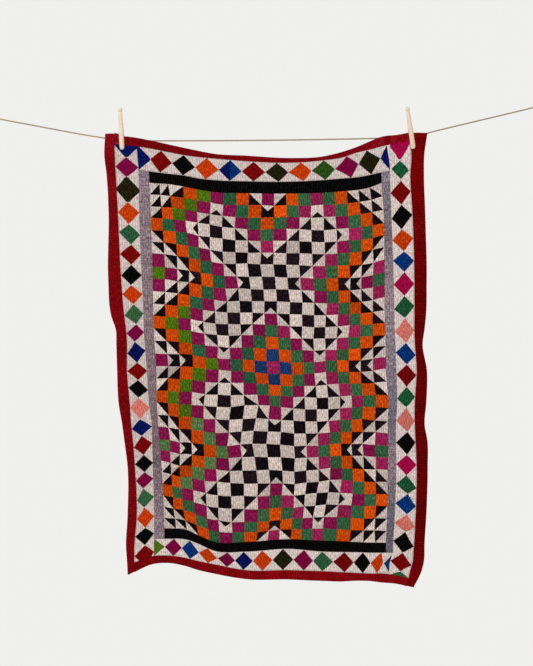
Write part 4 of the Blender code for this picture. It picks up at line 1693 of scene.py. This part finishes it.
def slot_cutter(place):
    """The sawn slot as a closed block: straight sides that follow the legs, a round root."""
    root = SLOT_WIDTH / 2
    straight = SLOT_DEPTH - root
    level = np.concatenate((np.linspace(-0.01, straight, 40),
                            SLOT_DEPTH - root * (1 - np.sin(np.radians((20, 45, 70, 90))))))
    round_root = np.sqrt(np.clip(1 - ((level - straight) / root) ** 2, 0, 1))
    width = root * np.where(level > straight, round_root, 1.0) + leg_spread(level)
    outline_y = np.concatenate((width[:-1], -width[::-1]))
    outline_z = np.concatenate((level[:-1], level[::-1]))
    count = len(outline_y)
    points = np.concatenate([np.column_stack((np.full(count, reach), outline_y, outline_z))
                             for reach in (-0.015, 0.015)])
    ring = np.arange(count)
    wall = np.column_stack((ring, (ring + 1) % count, (ring + 1) % count + count, ring + count))
    mesh = bpy.data.meshes.new("slot")
    mesh.from_pydata(peg_place(points, place).tolist(), [],
                     wall.tolist() + [list(ring[::-1]), list(ring + count)])
    cutter = bpy.data.objects.new("slot", mesh)
    bpy.context.scene.collection.objects.link(cutter)
    front_out(cutter)
    return cutter


def saw_slot(peg, place):
    """Take the slot out of the turned peg and keep the result as its mesh."""
    cutter = slot_cutter(place)
    saw = peg.modifiers.new("saw the slot", "BOOLEAN")
    saw.operation = "DIFFERENCE"
    saw.object = cutter
    saw.solver = "EXACT"
    graph = bpy.context.evaluated_depsgraph_get()
    sawn = bpy.data.meshes.new_from_object(peg.evaluated_get(graph))
    peg.modifiers.clear()
    peg.data = sawn
    bpy.data.objects.remove(cutter, do_unlink=True)
    sawn.shade_smooth()
    sawn.set_sharp_from_angle(angle=math.radians(35))


# ---------------------------------------------------------------- line, knots and eyes

def route_curve(points, count):
    """`count` points evenly along a smooth curve through the route's own points."""
    way = np.array(points, dtype=float)
    chord = run_along(way)
    table = np.column_stack((chord, way))
    return read_lines(table, np.linspace(0.0, chord[-1], count))


def eye_ring_side(side):
    """Middle of the ring's wire on the side that the line pulls."""
    middle = EYE_MIDDLES[side]
    pull = RING_RADIUS if side == "left" else -RING_RADIUS
    return np.array((middle.x + pull, -LINE_OFF_WALL, middle.z))


def line_points(count):
    """The line's centre, from one knot's face to the other's."""
    inner = [(QUILT_MIDDLE_X + station * MM, CORNER_LEVEL_Z - drop * MM)
             for station, drop in LINE_ROUTE]
    route = [(x, -LINE_OFF_WALL, z) for x, z in inner]
    ends = []
    for side, nearest in (("left", route[0]), ("right", route[-1])):
        start = eye_ring_side(side)
        way = np.array(nearest) - start
        way /= np.linalg.norm(way)
        ends.append(tuple(start + way * (KNOT_START + KNOT_LENGTH + SEAM_GAP)))
    return route_curve([ends[0]] + route + [ends[1]], count)


def path_frames(path):
    """Unit tangents of a path, and two unit directions square to it that turn little.

    The first square direction starts from +Y and loses its part along each tangent in turn.
    """
    tangent = np.gradient(path, axis=0)
    tangent /= np.linalg.norm(tangent, axis=1)[:, None]
    side = np.zeros_like(path)
    carried = np.array((0.0, 1.0, 0.02))
    for i, way in enumerate(tangent):
        carried = carried - way * carried.dot(way)
        carried /= np.linalg.norm(carried)
        side[i] = carried
    return tangent, side, np.cross(tangent, side)


def twisted_cord(path, diameter, lay, sides):
    """A three-strand cord along a path: its points and its map, ends drawn to a point.

    At each point of the path the section is r = d/2 (0.90 + 0.18 |cos(1.5 (a - turn))|), and
    `turn` goes once round in each `lay` of path.
    """
    run = run_along(path)
    _, side, other = path_frames(path)
    angle = round_turn(sides)
    turn = 2 * math.pi * run / lay
    lobe = abs(np.cos(1.5 * (angle[None, :] - turn[:, None])))
    radius = diameter / 2 * (0.90 + 0.18 * lobe)
    end = np.minimum(run, run[-1] - run)
    radius = radius * np.sqrt(np.clip(end / 0.0006, 0, 1))[:, None]
    ring = (side[:, None, :] * np.cos(angle)[None, :, None]
            + other[:, None, :] * np.sin(angle)[None, :, None])
    points = path[:, None, :] + ring * radius[..., None]
    strand = (angle[None, :] - turn[:, None]) * diameter / 2
    flat = np.stack((strand, run[:, None] + 0 * strand), -1)
    return points.reshape(-1, 3), flat.reshape(-1, 2)


def make_cord(name, path, diameter, lay, sides):
    """A twisted cord as a closed piece."""
    hardware = bpy.context.scene.ralli_hardware
    points, flat = twisted_cord(path, diameter, lay, sides)
    faces = grid_quads(len(path), sides, True)
    piece = mesh_piece(name, points, faces, finish_once("twisted_hemp", hemp_finish,
                                                        hardware.hemp), flat, weld=True)
    front_out(piece)
    return piece


def knot_path(side):
    """The line's own end: round the ring's wire and wound four times about itself."""
    bend = RING_WIRE_RADIUS + 0.0005 + LINE_DIAMETER / 2
    legs = KNOT_START + 0.002
    around = [(bend * math.cos(a), 0.0, bend * math.sin(a))
              for a in np.radians(np.arange(65, 296, 9))]
    turns = 4
    coil = 0.0031
    start = KNOT_START + KNOT_LENGTH - 0.0019
    pitch = (KNOT_LENGTH - 0.0036) / turns
    wound = []
    for step in range(turns * 16 + 1):
        a = -math.pi / 2 + step * 2 * math.pi / 16
        wound.append((start - pitch * step / 16, coil * math.cos(a), coil * math.sin(a)))
    route = ([(KNOT_START + KNOT_LENGTH + 0.001, 0.0, 0.0006), (legs, 0.0, 0.0021)] + around
             + [(legs, 0.0, -0.0021), (start - 0.004, 0.0005, -0.0024)] + wound)
    local = route_curve(route, 420)
    begin = eye_ring_side(side)
    way = (line_points(60)[0] if side == "left" else line_points(60)[-1]) - begin
    turn = math.atan2(way[2], way[0])
    x = local[:, 0] * math.cos(turn) - local[:, 2] * math.sin(turn)
    z = local[:, 0] * math.sin(turn) + local[:, 2] * math.cos(turn)
    return np.column_stack((x, local[:, 1], z)) + begin


def torus(major, minor, around, along):
    """A ring about Z: a circle of radius `minor` carried round one of radius `major`."""
    a, b = np.meshgrid(round_turn(around), round_turn(along), indexing="ij")
    reach = major + minor * np.cos(b)
    points = np.stack((reach * np.cos(a), reach * np.sin(a), minor * np.sin(b)), -1)
    corner = np.arange(around * along).reshape(around, along)
    right = np.roll(corner, -1, axis=1)
    below = np.roll(corner, -1, axis=0)
    both = np.roll(right, -1, axis=0)
    faces = np.stack((corner, below, both, right), -1).reshape(-1, 4)
    return points.reshape(-1, 3), faces


def make_eye(side):
    """A wall eye: a dished plate, a shank with a collar and a ring."""
    hardware = bpy.context.scene.ralli_hardware
    profile = np.array((
        # radius, distance from the wall
        (0.0, 0.0), (0.0165, 0.0), (0.0170, 0.0006), (0.0169, 0.0022), (0.0158, 0.0034),
        (0.0120, 0.0040), (0.0070, 0.0042), (0.0056, 0.0052), (0.0052, 0.0072),
        (0.0036, 0.0082), (0.0030, 0.0095), (0.0030, 0.0270), (0.0030, 0.0310),
        (0.0016, 0.0316), (0.0, 0.0316)))
    sides = 40
    x, y, z = turned_points(profile, sides)
    plate = np.column_stack((x.ravel(), -z.ravel(), y.ravel()))
    plate_faces = grid_quads(len(profile), sides, True)
    ring, ring_faces = torus(RING_RADIUS, RING_WIRE_RADIUS, 64, 20)
    ring = ring + np.array((0.0, -LINE_OFF_WALL, 0.0))
    points = np.concatenate((plate, ring))
    faces = np.concatenate((plate_faces, ring_faces + len(plate)))
    middle = EYE_MIDDLES[side]
    points = points + np.array((middle.x, 0.0, middle.z))
    piece = mesh_piece("eye_" + side, points, faces,
                       finish_once("zinc_plated_steel", steel_finish, hardware.steel),
                       weld=True)
    front_out(piece)
    piece.data.set_sharp_from_angle(angle=math.radians(40))
    return settle(piece, "eye_steel", "wall_eye_" + side)


# ---------------------------------------------------------------- operators

class RALLI_OT_stage(bpy.types.Operator):
    """Camera, pale floor that fades out, soft lights and surround"""

    bl_idname = "ralli.stage"
    bl_label = "Set the stage"

    def execute(self, context):
        stage = context.scene.ralli_stage
        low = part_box("binding_left")[0]
        middle = (QUILT_MIDDLE_X + 0.0013, CLOTH_Y, CORNER_LEVEL_Z - stage.view_drop)
        camera = bpy.data.cameras.new("camera")
        camera.sensor_width = 36
        camera.lens = stage.camera_distance * camera.sensor_width / stage.view_height
        view = bpy.data.objects.new("camera", camera)
        view.location = (middle[0], middle[1] - stage.camera_distance, middle[2])
        view.rotation_euler = (math.pi / 2, 0.0, 0.0)
        context.scene.collection.objects.link(view)
        context.scene.camera = view
        context.scene.view_settings.view_transform = "Standard"
        soft_light("key", (middle[0] - 1.5, -2.6, 0.9), middle, 1.6, stage.key_power)
        soft_light("fill", (middle[0] + 2.2, -2.2, -0.4), middle, 2.0, stage.fill_power)
        context.scene.world = make_surround(linear(stage.surround), stage.room_light)
        make_floor(middle, low.z - 0.53)
        return {"FINISHED"}


def make_surround(colour, room_light):
    """A pale surround behind the quilt that falls off to a dimmer room in front of it."""
    world = bpy.data.worlds.new("surround")
    world.use_nodes = True
    tree = world.node_tree
    way = tree.nodes.new("ShaderNodeTexCoord")
    parts = tree.nodes.new("ShaderNodeSeparateXYZ")
    fall = tree.nodes.new("ShaderNodeMapRange")
    fall.interpolation_type = "SMOOTHSTEP"
    fall.inputs["From Min"].default_value = -0.3
    fall.inputs["From Max"].default_value = 0.6
    fall.inputs["To Min"].default_value = room_light
    fall.inputs["To Max"].default_value = 1.0
    sky = tree.nodes["Background"]
    sky.inputs["Color"].default_value = (*colour, 1.0)
    tree.links.new(way.outputs["Generated"], parts.inputs[0])
    tree.links.new(parts.outputs[1], fall.inputs["Value"])
    tree.links.new(fall.outputs[0], sky.inputs["Strength"])
    return world


def soft_light(name, place, target, size, power):
    """A square area light that faces the quilt."""
    light = bpy.data.lights.new(name, "AREA")
    light.size = size
    light.energy = power
    lamp = bpy.data.objects.new(name, light)
    lamp.location = place
    way = np.array(target) - np.array(place)
    yaw = math.atan2(way[0], way[1])
    pitch = math.atan2(way[2], math.hypot(way[0], way[1]))
    lamp.rotation_euler = (math.pi / 2 + pitch, 0.0, -yaw)
    bpy.context.scene.collection.objects.link(lamp)


def make_floor(middle, level):
    """A pale round floor under the quilt, clear towards its rim."""
    radius = np.linspace(0, FLOOR_RADIUS, 9)[1:]
    angle = round_turn(FLOOR_SIDES)
    x = radius[:, None] * np.cos(angle)[None, :]
    y = radius[:, None] * np.sin(angle)[None, :]
    points = np.column_stack((x.ravel(), y.ravel(), np.zeros(x.size)))
    points = np.concatenate((points, [(0.0, 0.0, 0.0)]))
    ring = np.arange(FLOOR_SIDES)
    fan = np.column_stack((np.full(FLOOR_SIDES, len(points) - 1), ring, np.roll(ring, -1)))
    quads = grid_quads(len(radius), FLOOR_SIDES, True)
    faces = np.concatenate((quads[:, [0, 1, 2]], quads[:, [0, 2, 3]], fan))
    points = points + np.array((middle[0], FLOOR_Y, level))
    finish = Finish("pale_floor", 0.8)
    place = finish.add("ShaderNodeTexCoord", {}, {}, 3)
    shifted = finish.add("ShaderNodeVectorMath", {"operation": "SUBTRACT"},
                         {0: place, 1: (middle[0], FLOOR_Y, level)})
    reach = finish.add("ShaderNodeVectorMath", {"operation": "LENGTH"}, {0: shifted},
                       "Value")
    fade = finish.add("ShaderNodeMapRange", {"interpolation_type": "SMOOTHSTEP"},
                      {"Value": reach, "From Min": 0.5, "From Max": 1.18, "To Min": 1.0,
                       "To Max": 0.0})
    finish.feed("Alpha", fade)
    speckle = finish.noise(place, 240, 3.0)
    finish.feed("Base Color", finish.blend(speckle, (0.80, 0.80, 0.78), (0.86, 0.86, 0.84)))
    return mesh_piece("floor", points, faces, finish.material)


class RALLI_OT_clothesline(bpy.types.Operator):
    """The taut line and the knots that hold it to the wall eyes"""

    bl_idname = "ralli.clothesline"
    bl_label = "Stretch the clothesline"

    def execute(self, context):
        hardware = context.scene.ralli_hardware
        path = line_points(1180)
        line = make_cord("hemp_line", path, LINE_DIAMETER, hardware.strand_lay, 24)
        settle(line, "line_hemp", "clothesline")
        for side in ("left", "right"):
            knot = make_cord("knot_" + side, knot_path(side), LINE_DIAMETER * 0.94,
                             hardware.strand_lay, 16)
            settle(knot, "line_hemp", "line_knot_" + side)
        [tuple(point) for point in path[::10]] + [tuple(path[-1])]
        return {"FINISHED"}


class RALLI_OT_wall_eyes(bpy.types.Operator):
    """The two steel eyes on the wall"""

    bl_idname = "ralli.wall_eyes"
    bl_label = "Fit the wall eyes"

    def execute(self, context):
        for side in ("left", "right"):
            make_eye(side)
        return {"FINISHED"}


class RALLI_OT_pegs(bpy.types.Operator):
    """The two wooden dolly pegs"""

    bl_idname = "ralli.pegs"
    bl_label = "Push on the pegs"

    def execute(self, context):
        for side, place in PEGS.items():
            make_peg(side, place)
        return {"FINISHED"}


class RALLI_OT_panel(bpy.types.Operator):
    """The patchwork panel of two crosses"""

    bl_idname = "ralli.panel"
    bl_label = "Piece the panel"

    def execute(self, context):
        settle(make_panel(), "patchwork_cotton", "centre_panel")
        return {"FINISHED"}


class RALLI_OT_strips(bpy.types.Operator):
    """The black and lilac strips round the panel"""

    bl_idname = "ralli.strips"
    bl_label = "Sew on the strips"

    def execute(self, context):
        black = finish_once("black_cloth", cotton_finish, "black_cloth", 0.0009, 0.2, 0.3,
                            0.8, 0.2)
        lilac = finish_once("lilac_cloth", cotton_finish, "lilac_cloth", 0.0016, 0.30, 0.2,
                            2.4, 0.40)
        for end, row in (("top", 2), ("bottom", 4)):
            make_strip("black_" + end, (3, 4), (row, row + 1), black, black_dye,
                       "black_cotton", "black_strip_" + end)
        for side, column, dye_of in (("left", 2, lilac_left_dye), ("right", 4, lilac_right_dye)):
            make_strip("lilac_" + side, (column, column + 1), (2, 5), lilac, dye_of,
                       "lilac_cotton", "lilac_strip_" + side)
        return {"FINISHED"}


class RALLI_OT_borders(bpy.types.Operator):
    """The four borders of diamonds"""

    bl_idname = "ralli.borders"
    bl_label = "Sew on the diamond borders"

    def execute(self, context):
        for side, chart, upright, columns, rows in (
                ("left", LEFT_DIAMONDS, True, (1, 2), (1, 6)),
                ("right", RIGHT_DIAMONDS, True, (5, 6), (1, 6)),
                ("top", TOP_DIAMONDS, False, (2, 5), (1, 2)),
                ("bottom", BOTTOM_DIAMONDS, False, (2, 5), (5, 6))):
            make_border("diamonds_" + side, chart, upright, columns, rows,
                        "diamond_border_" + side)
        return {"FINISHED"}


class RALLI_OT_bindings(bpy.types.Operator):
    """The red binding round the quilt's edge"""

    bl_idname = "ralli.bindings"
    bl_label = "Bind the edges"

    def execute(self, context):
        for side, upright, band, span, dye_of, seed, ribbed in (
                ("left", True, 0, (0, 7), left_binding_dye, 51, 0.4),
                ("right", True, 6, (0, 7), right_binding_dye, 52, 0.9),
                ("top", False, 0, (1, 6), level_binding_dye, 53, 0.4),
                ("bottom", False, 6, (1, 6), level_binding_dye, 54, 0.6)):
            make_binding("edge_" + side, upright, band, span, dye_of, seed, ribbed,
                         "binding_" + side)
        return {"FINISHED"}


class RALLI_OT_back(bpy.types.Operator):
    """The plain back of the quilt"""

    bl_idname = "ralli.back"
    bl_label = "Lay the back"

    def execute(self, context):
        make_back()
        return {"FINISHED"}


class RALLI_OT_quilting(bpy.types.Operator):
    """Rows of running stitches through the quilt"""

    bl_idname = "ralli.quilting"
    bl_label = "Quilt it"

    def execute(self, context):
        panel_stitches()
        border_stitches()
        return {"FINISHED"}


OPERATORS = (RALLI_OT_stage, RALLI_OT_clothesline, RALLI_OT_wall_eyes, RALLI_OT_pegs,
             RALLI_OT_panel, RALLI_OT_strips, RALLI_OT_borders, RALLI_OT_bindings,
             RALLI_OT_back, RALLI_OT_quilting)
SETTINGS = {
    "ralli_stage": RalliStage,
    "ralli_cloth": RalliCloth,
    "ralli_dyes": RalliDyes,
    "ralli_hardware": RalliHardware,
}


class RALLI_PT_tools(bpy.types.Panel):
    """The quilt's operators and settings in the 3D view's sidebar"""

    bl_label = "Ralli quilt"
    bl_space_type = "VIEW_3D"
    bl_region_type = "UI"
    bl_category = "Ralli quilt"

    def draw(self, context):
        for operator in OPERATORS:
            self.layout.operator(operator.bl_idname)
        for name, group in SETTINGS.items():
            box = self.layout.box()
            for setting in group.__annotations__:
                box.prop(getattr(context.scene, name), setting)


def register():
    for group in SETTINGS.values():
        bpy.utils.register_class(group)
    for name, group in SETTINGS.items():
        setattr(bpy.types.Scene, name, PointerProperty(type=group))
    for operator in OPERATORS:
        bpy.utils.register_class(operator)
    bpy.utils.register_class(RALLI_PT_tools)


def unregister():
    bpy.utils.unregister_class(RALLI_PT_tools)
    for operator in reversed(OPERATORS):
        bpy.utils.unregister_class(operator)
    for name, group in SETTINGS.items():
        delattr(bpy.types.Scene, name)
        bpy.utils.unregister_class(group)


def main():
    register()
    for operator in OPERATORS:
        family, step = operator.bl_idname.split(".")
        getattr(getattr(bpy.ops, family), step)()


if __name__ == "__main__":
    main()
